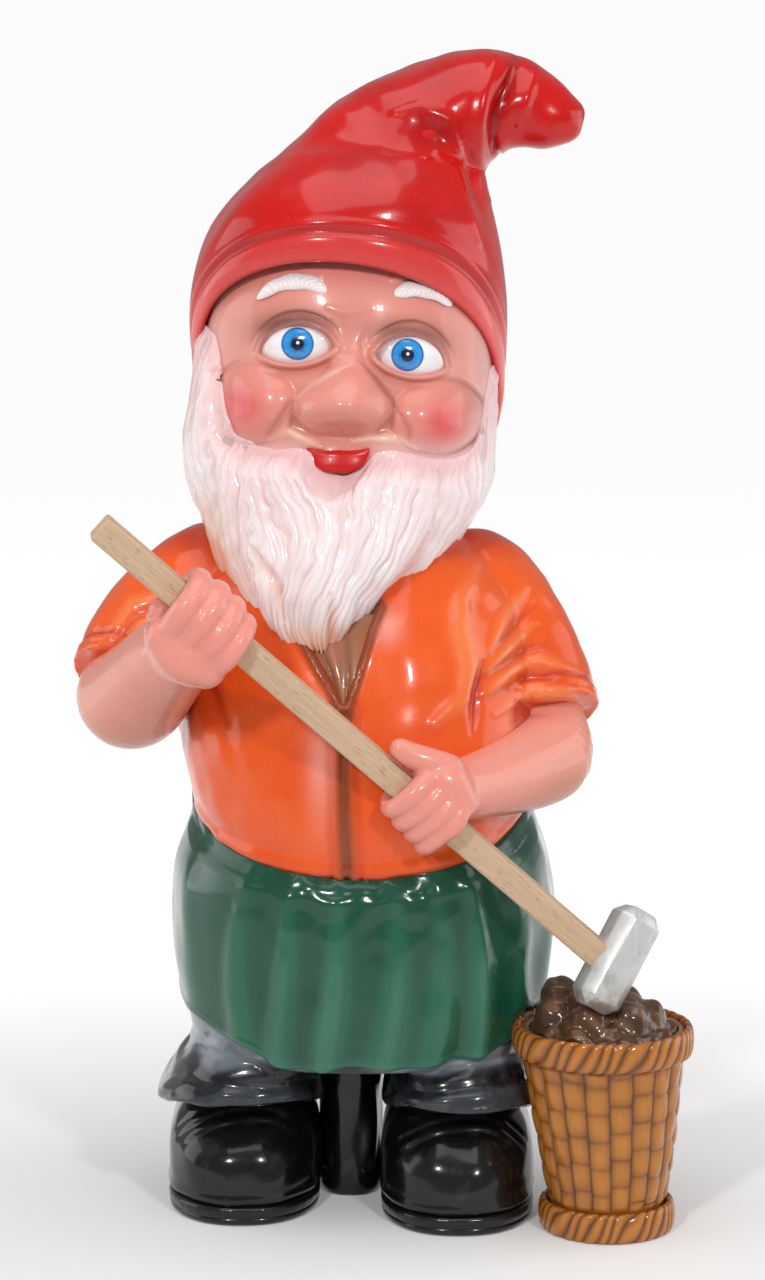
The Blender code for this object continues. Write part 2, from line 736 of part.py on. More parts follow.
def make_apron():
    """A cloth that wraps the front, from the waist line to its hem."""
    outside = SEAT_GAP + APRON_THICKNESS
    rings = []
    for share in (0, 0.25, 0.5, 0.75, 1):
        flare = outside + APRON_FLARE * girth * (1 - share)
        rings.append(
            body_ring(
                HIPS,
                None,
                flare,
                lambda angle, s=share: apron_hem(angle) * (1 - s) + waist_line(angle) * s,
            )
        )
    apron = loft("apron", rings, green)
    behind = figure_point(-160, APRON_BACK, 60), figure_point(160, 160, 300)
    cut(apron, block("behind_apron", *behind))
    cut(apron, hips_form("hips_in_apron", SEAT_GAP, above=6))
    floor = (HIPS[0][0] - 12, HIPS[0][0] + 1)
    cut(apron, loft("under_hips", [body_ring(HIPS, z, SEAT_GAP) for z in floor]))
    cut(apron, leg_form("leg_right_in_apron", TROUSER_LEG_RIGHT, SEAT_GAP))
    cut(apron, leg_form("leg_left_in_apron", TROUSER_LEG_LEFT, SEAT_GAP))
    cut(apron, torso_form("torso_in_apron", SEAT_GAP))
    cut(apron, basket_clearance("basket_by_apron"))


def make_apron_tie():
    """The band that carries the apron round the back, in line with its upper edge."""
    rings = []
    band = TIE_WIDTH / scale
    outside = SEAT_GAP + TIE_THICKNESS
    for drop in (band + 4, 4):
        rings.append(
            body_ring(HIPS, None, outside, lambda angle, d=drop: waist_line(angle) - d)
        )
    tie = loft("apron_tie", rings, green)
    low = figure_point(-160, -160, 100)
    cut(tie, block("before_tie", low, figure_point(160, APRON_BACK, 300) + Vector((0, SEAT_GAP, 0))))
    cut(tie, hips_form("hips_in_tie", SEAT_GAP, above=6))
    cut(tie, hips_form("hips_under_tie", SEAT_GAP, above=-3))
    cut(tie, torso_form("torso_in_tie", SEAT_GAP))


def shoe_rings(spot, rows, grow=0.0, base=SOLE_HEIGHT, sides=20):
    rings = []
    for lift, shift, half_width, half_length in rows:
        middle = figure_point(spot[0], spot[1] + shift, 0) + UP * (base + lift * scale)
        width, length = half_width * girth + grow, half_length * girth + grow
        outline = [oval(a, width, length, length) for a in angles(sides)]
        rings.append([middle + Vector((dx, dy, 0)) for dx, dy in outline])
    return rings


def make_shoe(side, spot):
    """A hollow upper, open at the ankle, on a solid sole."""
    base = SOLE_HEIGHT + RELIEF_GAP
    shoe = loft("shoe_" + side, shoe_rings(spot, SHOE_UPPER, base=base), black)
    hollow = shoe_rings(spot, SHOE_UPPER, grow=-WALL, base=base + WALL, sides=18)
    cut(shoe, loft("shoe_hollow_" + side, hollow))
    outline = SHOE_UPPER[0][1:]
    thickness = SOLE_HEIGHT / scale
    rings = shoe_rings(spot, [(0, *outline)], base=0)
    rings += shoe_rings(spot, [(thickness * 0.2, *outline), (thickness, *outline)], WELT, base=0)
    loft("sole_" + side, rings, black)


def make_support():
    """The hollow post between the shoes, which the figure stands on and is filled through."""
    x, y, half_width, half_depth = SUPPORT
    spot = figure_point(x, y, 0)
    width, depth = half_width * girth, half_depth * girth
    rings = []
    for height, taper in ((0, 0), (0.3, 0.5), (0.6, 1.5), (1, 0.5)):
        taper *= girth
        outline = [oval(a, width - taper, depth - taper, depth - taper, 3.2) for a in angles(SMALL_ROUND)]
        middle = spot + UP * height * SUPPORT_TOP * scale
        rings.append([middle + Vector((dx, dy, 0)) for dx, dy in outline])
    support = loft("rear_support", rings, black)
    inner = Vector((width - 2 * WALL, depth - 2 * WALL, 0))
    low = spot - inner + UP * SUPPORT_FLOOR
    high = spot + inner + UP * (SUPPORT_TOP * scale - WALL)
    cut(support, block("support_hollow", low, high))
    bore = PLUG_RADIUS + PLUG_GAP
    bore_top = max(2 * SUPPORT_FLOOR, PLUG_RECESS + PLUG_HEAD + PLUG_LENGTH + PLUG_GAP)
    seat = PLUG_HEAD_RADIUS + PLUG_GAP
    head_top = PLUG_RECESS + PLUG_HEAD + PLUG_GAP
    cut(support, rod("plug_bore", spot, bore, -WALL, bore_top, segments=SMALL_ROUND))
    cut(support, rod("plug_seat", spot, seat, -WALL, head_top, segments=SMALL_ROUND))
    profile = [
        (0, PLUG_RECESS + PLUG_HEAD + PLUG_LENGTH),
        (PLUG_RADIUS * 0.8, PLUG_RECESS + PLUG_HEAD + PLUG_LENGTH),
        (PLUG_RADIUS, PLUG_RECESS + PLUG_HEAD + PLUG_LENGTH * 0.7),
        (PLUG_RADIUS, PLUG_RECESS + PLUG_HEAD),
        (PLUG_HEAD_RADIUS, PLUG_RECESS + PLUG_HEAD),
        (PLUG_HEAD_RADIUS, PLUG_RECESS),
        (0, PLUG_RECESS),
    ]
    turned("filler_plug", spot, profile, black, segments=SMALL_ROUND)


def make_basket():
    lip, below_rope = BASKET_HEIGHT * scale, (BASKET_HEIGHT - ROPE_HEIGHT) * scale
    waist = BASKET_WAIST_HEIGHT * scale
    top, base = BASKET_TOP_RADIUS * girth, BASKET_BASE_RADIUS * girth
    profile = [
        (top - WALL, lip),
        (top, lip),
        (top, below_rope),
        (base, waist),
        (base, 0),
        (0, 0),
        (0, WALL),
        (base - WALL, WALL),
        (base - WALL, waist),
        (top - WALL, below_rope),
    ]
    turned("basket", basket_spot(), profile, willow)
    half = ROPE_HEIGHT * scale / 2
    rope_ring("basket_rim", top, lip - half + WALL / 2, half)
    rope_ring("basket_foot", base, half, half)


def rope_ring(name, wall_radius, height, half):
    """A plaited ring round the basket's wall: flat inside, and rounded outside."""
    inner = wall_radius + RELIEF_GAP
    profile = [(inner, height + half)]
    for i in range(1, 6):
        turn = math.pi * i / 6
        reach = inner + ROPE_WIDTH * girth * math.sin(turn) ** 0.6
        profile.append((reach, height + half * math.cos(turn)))
    profile.append((inner, height - half))
    turned(name, basket_spot(), profile, willow)


def make_ore():
    """The heap of ore that closes the basket, with a hollow where the hammer's head is stuck in it."""
    reach = BASKET_TOP_RADIUS * girth - WALL - RELIEF_GAP
    lip = BASKET_HEIGHT * scale - 2 * MM
    steps = (0, 0.25, 0.42, 0.6, 0.78, 0.95)
    rows = [(BASKET_HEIGHT - ORE_DEPTH, 0.97, 0.0), (BASKET_HEIGHT - 2, 1.0, 0.0)]
    rows += [(BASKET_HEIGHT + ORE_HEAP * step, math.sqrt(1 - step**2), 0.05) for step in steps[1:]]
    rings = []
    for k, (height, share, lump) in enumerate(rows):
        ring = []
        for angle in angles(ROUND):
            swell = lump * (math.sin(3 * angle + 2.1 * k) + math.sin(7 * angle + 1.3 * k))
            radius = reach * min(share * (1 + swell), 1)
            spoke = Vector((math.cos(angle), math.sin(angle), 0)) * radius
            ring.append(basket_spot(height * scale) + spoke)
        rings.append(ring)
    ore = loft("ore", rings, stone)
    cut(ore, hammer_form("hammer_in_ore", grow=SEAT_GAP))


def make_hammer():
    head = hammer_form("hammer_head", look=steel, bevel=HAMMER_BEVEL * girth)
    half = hammer_side() / 2
    bottom = half - HANDLE_SOCKET * hammer_side()
    cut(head, handle_prism("hammer_eye", HANDLE_GAP, bottom, 4 * half))
    top = handle_length() + HANDLE_OVERHANG * girth
    handle_prism("hammer_handle", 0, bottom + HANDLE_GAP, top, wood, HANDLE_CHAMFER)


def centre_on_floor():
    """Moves the whole figure so that the middle of its floor area is at the origin."""
    bpy.context.view_layer.update()
    graph = bpy.context.evaluated_depsgraph_get()
    corners = []
    for obj in gnome.objects:
        done = obj.evaluated_get(graph)
        corners += [done.matrix_world @ Vector(corner) for corner in done.bound_box]
    low = Vector(min(corner[k] for corner in corners) for k in range(3))
    high = Vector(max(corner[k] for corner in corners) for k in range(3))
    figure.location = -(low + high) / 2
    figure.location.z = -low.z


clear_scene()
gnome = new_collection("gnome")
cutters = new_collection("cutters")
figure = bpy.data.objects.new("figure_datum", None)
bpy.context.scene.collection.objects.link(figure)

red = material("hat_red", (0.45, 0.006, 0.004), 0.25)
skin = material("skin", (0.79, 0.30, 0.25), 0.3)
white = material("white", (0.84, 0.79, 0.79), 0.35)
lip_red = material("lip_red", (0.68, 0.018, 0.015), 0.25)
orange = material("jacket_orange", (0.74, 0.08, 0.013), 0.25)
brown = material("shirt_brown", (0.3, 0.1, 0.03), 0.35)
green = material("apron_green", (0.019, 0.12, 0.072), 0.2)
grey = material("trouser_grey", (0.13, 0.15, 0.18), 0.25)
black = material("shoe_black", (0.004, 0.004, 0.0045), 0.2)
willow = material("basket_brown", (0.3, 0.092, 0.02), 0.25)
stone = material("ore_brown", (0.1, 0.055, 0.03), 0.25)
steel = material("hammer_grey", (0.5, 0.5, 0.48), 0.3, 0.4)
wood = material("handle_beech", (0.6, 0.42, 0.28), 0.7)

make_hat()
make_head()
make_face_reliefs()
make_beard()
make_jacket()
make_shirt_front()
make_sleeve("right", SLEEVE_RIGHT, UPPER_ARM_RIGHT, FOREARM_RIGHT)
make_sleeve("left", SLEEVE_LEFT, UPPER_ARM_LEFT, FOREARM_LEFT)
make_arm("right", UPPER_ARM_RIGHT, FOREARM_RIGHT, 1.0)
make_arm("left", UPPER_ARM_LEFT, FOREARM_LEFT, LEFT_FIST_SHARE)
make_trousers()
make_apron()
make_apron_tie()
make_shoe("right", SHOE_RIGHT)
make_shoe("left", SHOE_LEFT)
make_support()
make_basket()
make_ore()
make_hammer()
centre_on_floor()
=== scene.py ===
import math

import bpy
import numpy as np
from mathutils import Matrix, Vector


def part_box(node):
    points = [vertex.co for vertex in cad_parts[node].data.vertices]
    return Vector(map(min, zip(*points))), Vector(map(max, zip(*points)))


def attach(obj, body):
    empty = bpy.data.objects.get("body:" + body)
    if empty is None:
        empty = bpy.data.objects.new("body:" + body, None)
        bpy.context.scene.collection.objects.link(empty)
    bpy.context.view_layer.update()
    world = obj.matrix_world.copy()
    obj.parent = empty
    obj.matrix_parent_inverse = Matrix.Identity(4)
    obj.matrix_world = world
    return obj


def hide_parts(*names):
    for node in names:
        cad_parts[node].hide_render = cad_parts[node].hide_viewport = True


bl_info = {
    "name": "Garden gnome",
    "version": (1, 0, 0),
    "blender": (4, 5, 0),
    "location": "View3D > Sidebar > Gnome",
    "description": "Models and paints a garden gnome with a hammer and a basket of ore",
    "category": "Object",
}

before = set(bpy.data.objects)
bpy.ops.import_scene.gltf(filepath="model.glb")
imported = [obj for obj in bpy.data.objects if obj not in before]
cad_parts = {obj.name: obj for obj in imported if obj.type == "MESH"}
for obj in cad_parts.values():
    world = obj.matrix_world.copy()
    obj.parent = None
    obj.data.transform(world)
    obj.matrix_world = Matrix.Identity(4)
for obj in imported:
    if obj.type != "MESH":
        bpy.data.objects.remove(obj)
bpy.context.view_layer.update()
MM = 0.001
TAU = 2 * math.pi

# The tables below are in millimetres, from a point on the floor between the shoes:
# X to the gnome's left, Y to its back, Z up. The left sole gives that point in the frame.
LEFT_SOLE = (59, -39)
sole_low, sole_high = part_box("sole_left")
DATUM = np.array(
    [
        (sole_low.x + sole_high.x) / 2 - LEFT_SOLE[0] * MM,
        (sole_low.y + sole_high.y) / 2 - LEFT_SOLE[1] * MM,
        0,
    ]
)

# Centre x, y, z, lean to the left in degrees, half width, half depth, rise of the front edge
HAT = np.array(((-5, 0, 482, 6, 89, 86, 73), (-5, 1, 511, 3, 93, 88, 62), (-3, 2, 541, 2, 90, 86, 46),
    (0, 5, 568, 2, 82.5, 79, 32), (7, 8, 596, 2, 69, 68, 18), (18, 10, 612, 8, 57.5, 59, 10),
    (35, 10, 630, 20, 49, 51, 4), (55, 8, 642, 40, 38, 42, 0), (78, 5, 648, 74, 31, 33, 0),
    (97, 3, 646, 92, 25, 25, 0), (114, 1, 639, 103, 19, 19, 0), (125, 0, 636, 106, 12.5, 12.5, 0),
    (130, 0, 634.7, 106, 7, 7, 0), (131.5, 0, 634.2, 106, 0, 0, 0)), float)
HEAD = (-5, 0, 478)
HEAD_RADII = (85, 85, 110)
HEAD_BOTTOM = 400
HEAD_POWER = 2.15
# Middle x and z, half width, height of the upper and the lower lid, tilt in degrees
EYES = {"right": (-33, 506.1, 21.6, 14, 8, 5.3), "left": (30.4, 499.3, 20.3, 15, 7.5, -11.2)}
IRISES = {"right": (-32.6, 509.4), "left": (29, 503.1)}
IRIS_RADIUS = 9.1
PUPIL_RADIUS = 3.6
# Middle x and z, half length, arch, tilt in degrees
BROWS = {"right": (-36, 540, 20.5, 7, 7), "left": (38.5, 536.5, 17, 5, -12)}
# Middle x and z, half width, half height
CHEEKS = ((-58, 475, 25, 23), (46, 467.5, 27, 21))
BLUSHES = ((-66, 474), (51, 464.5))
# Height, half width and reach of the nose
NOSE = np.array(((458, 14, 0), (462, 21, 10), (467, 26.5, 20), (474, 29, 25.5), (481, 27, 25),
    (487, 20.5, 20.5), (492, 14.5, 15), (497, 11, 8), (503, 9, 3.5), (510, 8.5, 1.2), (518, 8, 0)), float)
# Height, middle x, half width, front depth
BEARD = np.array(((335, -21, 22, 100), (343, -22, 33, 104), (354, -22, 44, 108), (366, -21, 53, 111),
    (386, -15, 68, 111), (408, -10, 80, 107), (430, -10, 88, 102), (452, -11, 90.5, 97), (476, -9, 90, 91),
    (502, -7, 88, 86), (530, -7, 86, 84)), float)
# Where the beard's upper edge runs: x and height
BEARD_EDGE = np.array(((-100, 522), (-88, 514), (-83.5, 500), (-80.5, 472), (-74, 457), (-60, 452),
    (-47, 450), (-36, 451.5), (-28.5, 449.5), (-21, 440), (-10, 435), (1, 440), (8, 449), (18, 450),
    (28, 448), (40, 445), (54, 444), (65, 447), (71, 457), (74.5, 476), (78, 494), (92, 504)), float)
# Height, middle x, half width, front depth, back depth
TORSO = np.array(((190, 2, 70, 86, 64), (199, 2, 82, 102, 74), (206, 2, 86, 110, 77), (215, 2, 90, 116, 80),
    (232, 2, 95, 119.5, 83), (250, 2, 101, 120, 85), (270, 1, 105, 118, 87), (300, 0, 105, 113, 87),
    (330, 0, 102, 105, 84), (355, -1, 96, 93, 79), (378, -2, 84, 78, 71), (396, -3, 65, 62, 60),
    (410, -4, 50, 50, 50)), float)
HIPS = np.array(((92, 2, 96, 100, 86), (104, 2, 101, 106, 90), (128, 3, 105, 111, 96),
    (152, 3, 108, 112, 98), (180, 3, 110, 113, 97), (206, 3, 107, 115, 93), (226, 3, 101, 118, 88),
    (250, 3, 95, 120, 85)), float)
WAIST_FRONT = 207
WAIST_RISE = 37
APRON_REACH = 110  # degrees from the front to the apron's side edges
APRON_HEM = 101
APRON_HEM_RISE = (25, 12)  # at the gnome's right and left side
# Height, centre x and y, half width, half depth
TROUSER_LEGS = {"right": np.array(((58, -69, -20, 44, 69), (61, -69, -20, 47.5, 72.5),
    (76, -67, -20, 47, 72), (94, -58, -18, 43, 71), (128, -53, -10, 40, 68)), float),
    "left": np.array(((58, 61, -30, 41, 72), (61, 61, -30, 44.5, 75.5), (76, 61, -30, 44, 75),
    (94, 57, -24, 42, 72), (128, 54, -14, 40, 68)), float)}
# Centre, radius, from inside the shoulder to the cuff
SLEEVES = {"right": ((-52, 6, 372, 4), (-58, 6, 370, 24), (-68, 5, 366, 37), (-82, 3, 360, 43),
    (-99, -2, 350, 42.5), (-114, -10, 338, 39.5), (-127, -21, 323, 37), (-134, -32, 309, 35)),
    "left": ((40, 6, 372, 4), (44, 6, 370, 24), (52, 5, 366, 38), (64, 3, 357, 44), (79, 0, 342, 42.5),
    (92, -5, 325, 40), (102, -13, 305, 38), (107, -24, 287, 36.5))}
# Centre and radius, from the elbow to the wrist
FOREARMS = {"right": ((-131, -20, 317, 24), (-134, -34, 305, 29.5), (-128, -50, 306, 30.5),
    (-116, -80, 320, 27.5), (-105, -106, 334, 25), (-97, -127, 343, 22.5)), "left": ((106, -16, 292, 25),
    (111, -34, 272, 27.5), (104, -48, 267, 27), (86, -74, 264, 23.5), (70, -97, 262, 19.5),
    (60, -110, 261, 17.5))}
# Middle of the upper fist, and how far up from the hammer to there the lower fist is
RIGHT_FIST = np.array((-78.0, -153, 361))
LEFT_FIST_SHARE = 0.475
# Where the batten enters the head, and the head's middle, direction and size
HAMMER_EYE = np.array((144.0, -99, 159))
HAMMER_MIDDLE = np.array((147.0, -98, 160))
HAMMER_AXIS = np.array((0.47, 0.25, 0.84))
HAMMER_SIDE = 27
HAMMER_ABOVE = 33
HAMMER_BELOW = 30
HAMMER_CHAMFER = 6.5
# Height above the sole, shift in y, half width, half length
SHOE = np.array(((0, 0, 43.5, 62.5), (8, 0, 45, 64), (20, 2, 45.3, 63.5), (30, 4, 44.5, 61.5),
    (40, 7, 42.5, 57.5), (48, 10, 39.5, 53), (56, 13, 36.5, 48), (66, 17, 32.5, 40)), float)
SHOES = {"right": (-67, -20), "left": (59, -39)}
SOLE_HEIGHT = 11
# Height and how far out the sole's edge is
SOLE_EDGE = np.array(
    ((0, -2.2), (0.3, -0.6), (1.4, 0.5), (3.2, 0.9), (4.2, 0.2), (5, 0.9), (9.2, 1.1), (10.4, 0.6),
     (11, -0.6))
)
BASKET = (145, -80)
BASKET_LEAN = -3  # how far its rim stands to the gnome's right of its foot
STAVES = 20
BRICK_HEIGHT = 16.5
# Height and radius of the basket's wall
BASKET_WALL = np.array(
    ((0, 33), (14, 33), (22, 34.2), (40, 37.5), (65, 41.2), (90, 44.6), (104, 46.3), (118, 46.5)), float
)
ROPE_WIDTH = 8
ROPE_HEIGHT = 17
# Size of the little cubes that fused pieces are made of: smaller keeps more detail
JACKET_GRAIN = 1.7
TROUSER_GRAIN = 1.55
ARM_GRAIN = 1.05
TIE_GRAIN = 1.0
# Place, size and power of each lamp
LAMPS = {
    "key_left": ((-0.75, -1.9, 1.35), 0.22, 17),
    "key_right": ((0.85, -1.8, 1.25), 0.2, 13),
    "overhead": ((0, -0.5, 2.1), 1.6, 15),
    "side_left": ((-1.5, 0.2, 0.6), 1.1, 6),
    "side_right": ((1.5, 0.2, 0.6), 1.1, 6),
}
LAMP_AIM = Vector((0, 0, 0.36))
CAMERA_PLACE = Vector((-0.004518, -1.760612, 0.560))
CAMERA_AIM = Vector((-0.004518, 0.039388, 0.332))


# Curves and reliefs


def flow(table, at):
    """The rest of a table's columns, smoothly, where its first column has these values."""
    keys, values = table[:, 0], table[:, 1:]
    slopes = np.gradient(values, keys, axis=0)
    at = np.clip(at, keys[0], keys[-1])
    i = np.clip(np.searchsorted(keys, at, side="right") - 1, 0, len(keys) - 2)
    step = (keys[i + 1] - keys[i])[..., None]
    s = (at - keys[i])[..., None] / step
    found = values[i] * (2 * s**3 - 3 * s**2 + 1) + values[i + 1] * (3 * s**2 - 2 * s**3)
    found += step * (slopes[i] * (s**3 - 2 * s**2 + s) + slopes[i + 1] * (s**3 - s**2))
    return np.moveaxis(found, -1, 0)


def numbered(table):
    """The same table with the number of each row as its first column."""
    table = np.array(table, float)
    return np.column_stack((np.arange(len(table)), table))


def spread(stops, counts):
    """Values from stop to stop, with its own count of steps in each stretch."""
    runs = [np.linspace(a, b, n, endpoint=False) for a, b, n in zip(stops, stops[1:], counts)]
    return np.concatenate((*runs, [stops[-1]]))


def fade(value, start, end):
    """0 at the start and 1 at the end, with a soft step between them."""
    s = np.clip((value - start) / (end - start), 0, 1)
    return s * s * (3 - 2 * s)


def bell(distance):
    return np.exp(-(distance**2))


def spot(x, z, middle_x, middle_z, wide, tall):
    """A soft round spot of strength 1 in its middle."""
    return bell(np.hypot((x - middle_x) / wide, (z - middle_z) / tall))


def signed_power(value, power):
    return np.sign(value) * np.abs(value) ** power


def oval(angle, half_width, front, back, power=2.3):
    """A rounded outline: angle 0 is the front, and a quarter turn is the gnome's left."""
    side, ahead = np.sin(angle), np.cos(angle)
    x = half_width * signed_power(side, 2 / power)
    y = -np.where(ahead > 0, front, back) * signed_power(ahead, 2 / power)
    return x, y


def stack(*columns):
    return np.stack(np.broadcast_arrays(*columns), axis=-1).astype(float)


def full_turn(columns):
    """Angles once round a piece, in one row."""
    return np.linspace(-math.pi, math.pi, columns + 1)[None, :]


def along_line(x, z, line):
    """Distance from a line of (x, z) places, and how far along it the nearest place is, from 0 to 1."""
    nearest, share = np.full(np.shape(x), 1e9), np.zeros(np.shape(x))
    count = len(line) - 1
    for k, ((ax, az), (bx, bz)) in enumerate(zip(line, line[1:])):
        length = (bx - ax) ** 2 + (bz - az) ** 2
        t = np.clip(((x - ax) * (bx - ax) + (z - az) * (bz - az)) / length, 0, 1)
        distance = np.hypot(x - ax - t * (bx - ax), z - az - t * (bz - az))
        closer = distance < nearest
        nearest = np.where(closer, distance, nearest)
        share = np.where(closer, (k + t) / count, share)
    return nearest, share


def ridge(x, z, line, width):
    """A soft ridge along a line, thinner towards both ends."""
    distance, share = along_line(x, z, line)
    thick = width * (0.35 + 0.65 * np.sin(math.pi * np.clip(share, 0.02, 0.98)) ** 0.7)
    return bell(distance / thick) * np.sin(math.pi * np.clip(share, 0.08, 0.92)) ** 0.5


def creased(x, z, folds):
    """The relief of a table of folds."""
    return sum(height * ridge(x, z, line, width) for height, width, line in folds)


def ripple(points, size, seed, waves=8):
    """Soft irregular waves of about that size, mostly between -1 and 1."""
    random = np.random.default_rng(seed)
    total = np.zeros(points.shape[:-1])
    for _ in range(waves):
        direction = random.normal(size=3)
        direction /= np.linalg.norm(direction)
        pitch = size * random.uniform(0.7, 1.5)
        total += np.sin(points @ direction * TAU / pitch + random.uniform(0, TAU))
    return total / math.sqrt(waves)


def outward(points, closed=True):
    """Unit normals of a grid whose columns run round the piece and whose rows run up it."""
    if closed:
        wide = np.concatenate((points[:, -2:-1], points, points[:, 1:2]), axis=1)
        across = wide[:, 2:] - wide[:, :-2]
    else:
        across = np.gradient(points, axis=1)
    normal = np.cross(across, np.gradient(points, axis=0))
    length = np.linalg.norm(normal, axis=-1, keepdims=True)
    return normal / np.maximum(length, 1e-9)


def raised(points, relief, closed=True):
    """The grid with its relief laid on, square to its surface."""
    return points + outward(points, closed) * relief[..., None]


def pinch(points, row, middle=None):
    """Draws one row of a grid together into a pole."""
    points[row] = points[row].mean(axis=0) if middle is None else middle
    return points


# Pieces


def skin(name, points, paint=None, wall=0.0, closed=True):
    """A grid of faces laid on rows of points, with its seams closed. A wall makes a shell of it."""
    rows, columns = points.shape[:2]
    bpy.ops.mesh.primitive_grid_add(x_subdivisions=columns - 1, y_subdivisions=rows - 1, size=1)
    piece = bpy.context.active_object
    piece.name = piece.data.name = name
    if len(piece.data.vertices) != rows * columns:
        raise RuntimeError(f"{name}: the grid has {len(piece.data.vertices)} corners")
    place_corners(piece, points)
    for label, values in (paint or {}).items():
        brush(piece, label, np.broadcast_to(values, (rows, columns)).ravel())
    bpy.ops.object.mode_set(mode="EDIT")
    bpy.ops.mesh.select_all(action="SELECT")
    bpy.ops.mesh.remove_doubles(threshold=0.00002)
    if closed:
        bpy.ops.mesh.normals_make_consistent(inside=False)
    bpy.ops.object.mode_set(mode="OBJECT")
    if wall:
        modify(piece, "SOLIDIFY", thickness=wall * MM, offset=-1)
    return piece


def lined(points, normal, wall, layers, rows=9):
    """A sheet with its edges turned in and a plain lining behind it, and its layers of paint to match."""
    back = np.linspace(len(points) - 1, 0, rows).round().astype(int)
    order = np.concatenate((np.arange(len(points)), back, [0]))
    depth = np.concatenate((np.zeros(len(points)), np.full(rows, float(wall)), [0.0]))
    depth = np.repeat(depth[:, None], points.shape[1] + 2, axis=1)
    depth[:, (0, -1)] = wall / 2
    whole = np.pad(points[order], ((0, 0), (1, 1), (0, 0)), "edge")
    outwards = np.pad(normal[order], ((0, 0), (1, 1), (0, 0)), "edge")
    spots = points.shape[:2]
    painted = {
        label: np.pad(np.broadcast_to(values, spots)[order], ((0, 0), (1, 1)), "edge")
        for label, values in layers.items()
    }
    return whole - outwards * depth[..., None], painted


def brush(piece, label, values):
    """Lays a layer of paint on a piece: one strength for each corner of its mesh."""
    layer = piece.data.attributes.get(label) or piece.data.attributes.new(label, "FLOAT", "POINT")
    layer.data.foreach_set("value", np.ascontiguousarray(np.clip(values, 0, 1), np.float32))


def corners(piece):
    """A piece's corners in the tables' millimetres."""
    places = np.zeros(len(piece.data.vertices) * 3, np.float32)
    piece.data.vertices.foreach_get("co", places)
    return (places.reshape(-1, 3).astype(float) - DATUM) / MM


def place_corners(piece, places):
    piece.data.vertices.foreach_set("co", (places * MM + DATUM).astype(np.float32).ravel())
    piece.data.update()


def facing(piece):
    """The direction that each corner of a piece faces."""
    found = np.zeros(len(piece.data.vertices) * 3, np.float32)
    piece.data.vertex_normals.foreach_get("vector", found)
    return found.reshape(-1, 3)


def tube(stations, rows, sides, guide):
    """Rings round a smooth line through stations of centre and radius, with the line and its direction."""
    x, y, z, radius = flow(numbered(stations), np.linspace(0, len(stations) - 1, rows))
    centre = np.stack((x, y, z), axis=-1)
    tangent = np.gradient(centre, axis=0)
    tangent /= np.linalg.norm(tangent, axis=1, keepdims=True)
    side = np.cross(tangent, guide)
    side /= np.linalg.norm(side, axis=1, keepdims=True)
    other = np.cross(tangent, side)
    turn = np.linspace(0, TAU, sides + 1)
    spoke = side[:, None] * np.cos(turn)[None, :, None] + other[:, None] * np.sin(turn)[None, :, None]
    return centre, tangent, centre[:, None] + spoke * radius[:, None, None]


def rounded_end(end, before, turns):
    """Stations that close a limb with a half ball."""
    ahead = (end[:3] - before[:3]) / np.linalg.norm(end[:3] - before[:3])
    return [(*(end[:3] + ahead * end[3] * math.sin(t)), end[3] * math.cos(t)) for t in turns]


def limb(name, stations, sides=28, rows=30):
    """A closed limb through stations of centre and radius, with round ends."""
    stations = np.array(stations, float)
    head = rounded_end(stations[0], stations[1], (1.5, 1.1, 0.6))
    tail = rounded_end(stations[-1], stations[-2], (0.6, 1.1, 1.5))
    _, _, points = tube((*head, *stations, *tail), rows, sides, (0.13, 0.21, 1.0))
    pinch(points, 0)
    pinch(points, -1)
    return skin(name, points)


def fuse(name, parts, voxel, smoothing):
    """Joins overlapping parts into one skin, with soft creases between them."""
    bpy.ops.object.select_all(action="DESELECT")
    for part in parts:
        part.select_set(True)
    bpy.context.view_layer.objects.active = parts[0]
    bpy.ops.object.join()
    piece = bpy.context.active_object
    piece.name = piece.data.name = name
    modify(piece, "REMESH", mode="VOXEL", voxel_size=voxel * MM)
    modify(piece, "SMOOTH", iterations=smoothing)
    return piece


def modify(piece, kind, **settings):
    """Applies one modifier to the piece that is at hand."""
    modifier = piece.modifiers.new(kind.lower(), kind)
    for setting, value in settings.items():
        setattr(modifier, setting, value)
    bpy.ops.object.modifier_apply(modifier=modifier.name)


def coat_node(node, look):
    """Gives a CAD node that stays as it is its finish."""
    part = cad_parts[node]
    part.data.materials.clear()
    part.data.materials.append(look)


def complete(piece, look, slot, *nodes, body="figure", sharp=None):
    """Gives a piece its finish, and puts it in the place of its CAD nodes."""
    piece.data.materials.clear()
    piece.data.materials.append(look)
    bpy.ops.object.select_all(action="DESELECT")
    piece.select_set(True)
    bpy.context.view_layer.objects.active = piece
    if sharp is None:
        bpy.ops.object.shade_smooth()
    else:
        bpy.ops.object.shade_smooth_by_angle(angle=math.radians(sharp))
    piece.select_set(False)
    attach(piece, body)
    if nodes:
        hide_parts(*nodes)
    return piece


# Finishes


class Wire:
    """A shader socket that can be added, multiplied and so on."""

    def __init__(self, finish, socket):
        self.finish = finish
        self.socket = socket

    def maths(self, operation, first, second):
        return self.finish.node("ShaderNodeMath", {"operation": operation}, {0: first, 1: second})

    def __add__(self, other):
        return self.maths("ADD", self, other)

    def __sub__(self, other):
        return self.maths("SUBTRACT", self, other)

    def __rsub__(self, other):
        return self.maths("SUBTRACT", other, self)

    def __mul__(self, other):
        return self.maths("MULTIPLY", self, other)

    def __truediv__(self, other):
        return self.maths("DIVIDE", self, other)

    def __pow__(self, other):
        return self.maths("POWER", self, other)

    __radd__ = __add__
    __rmul__ = __mul__


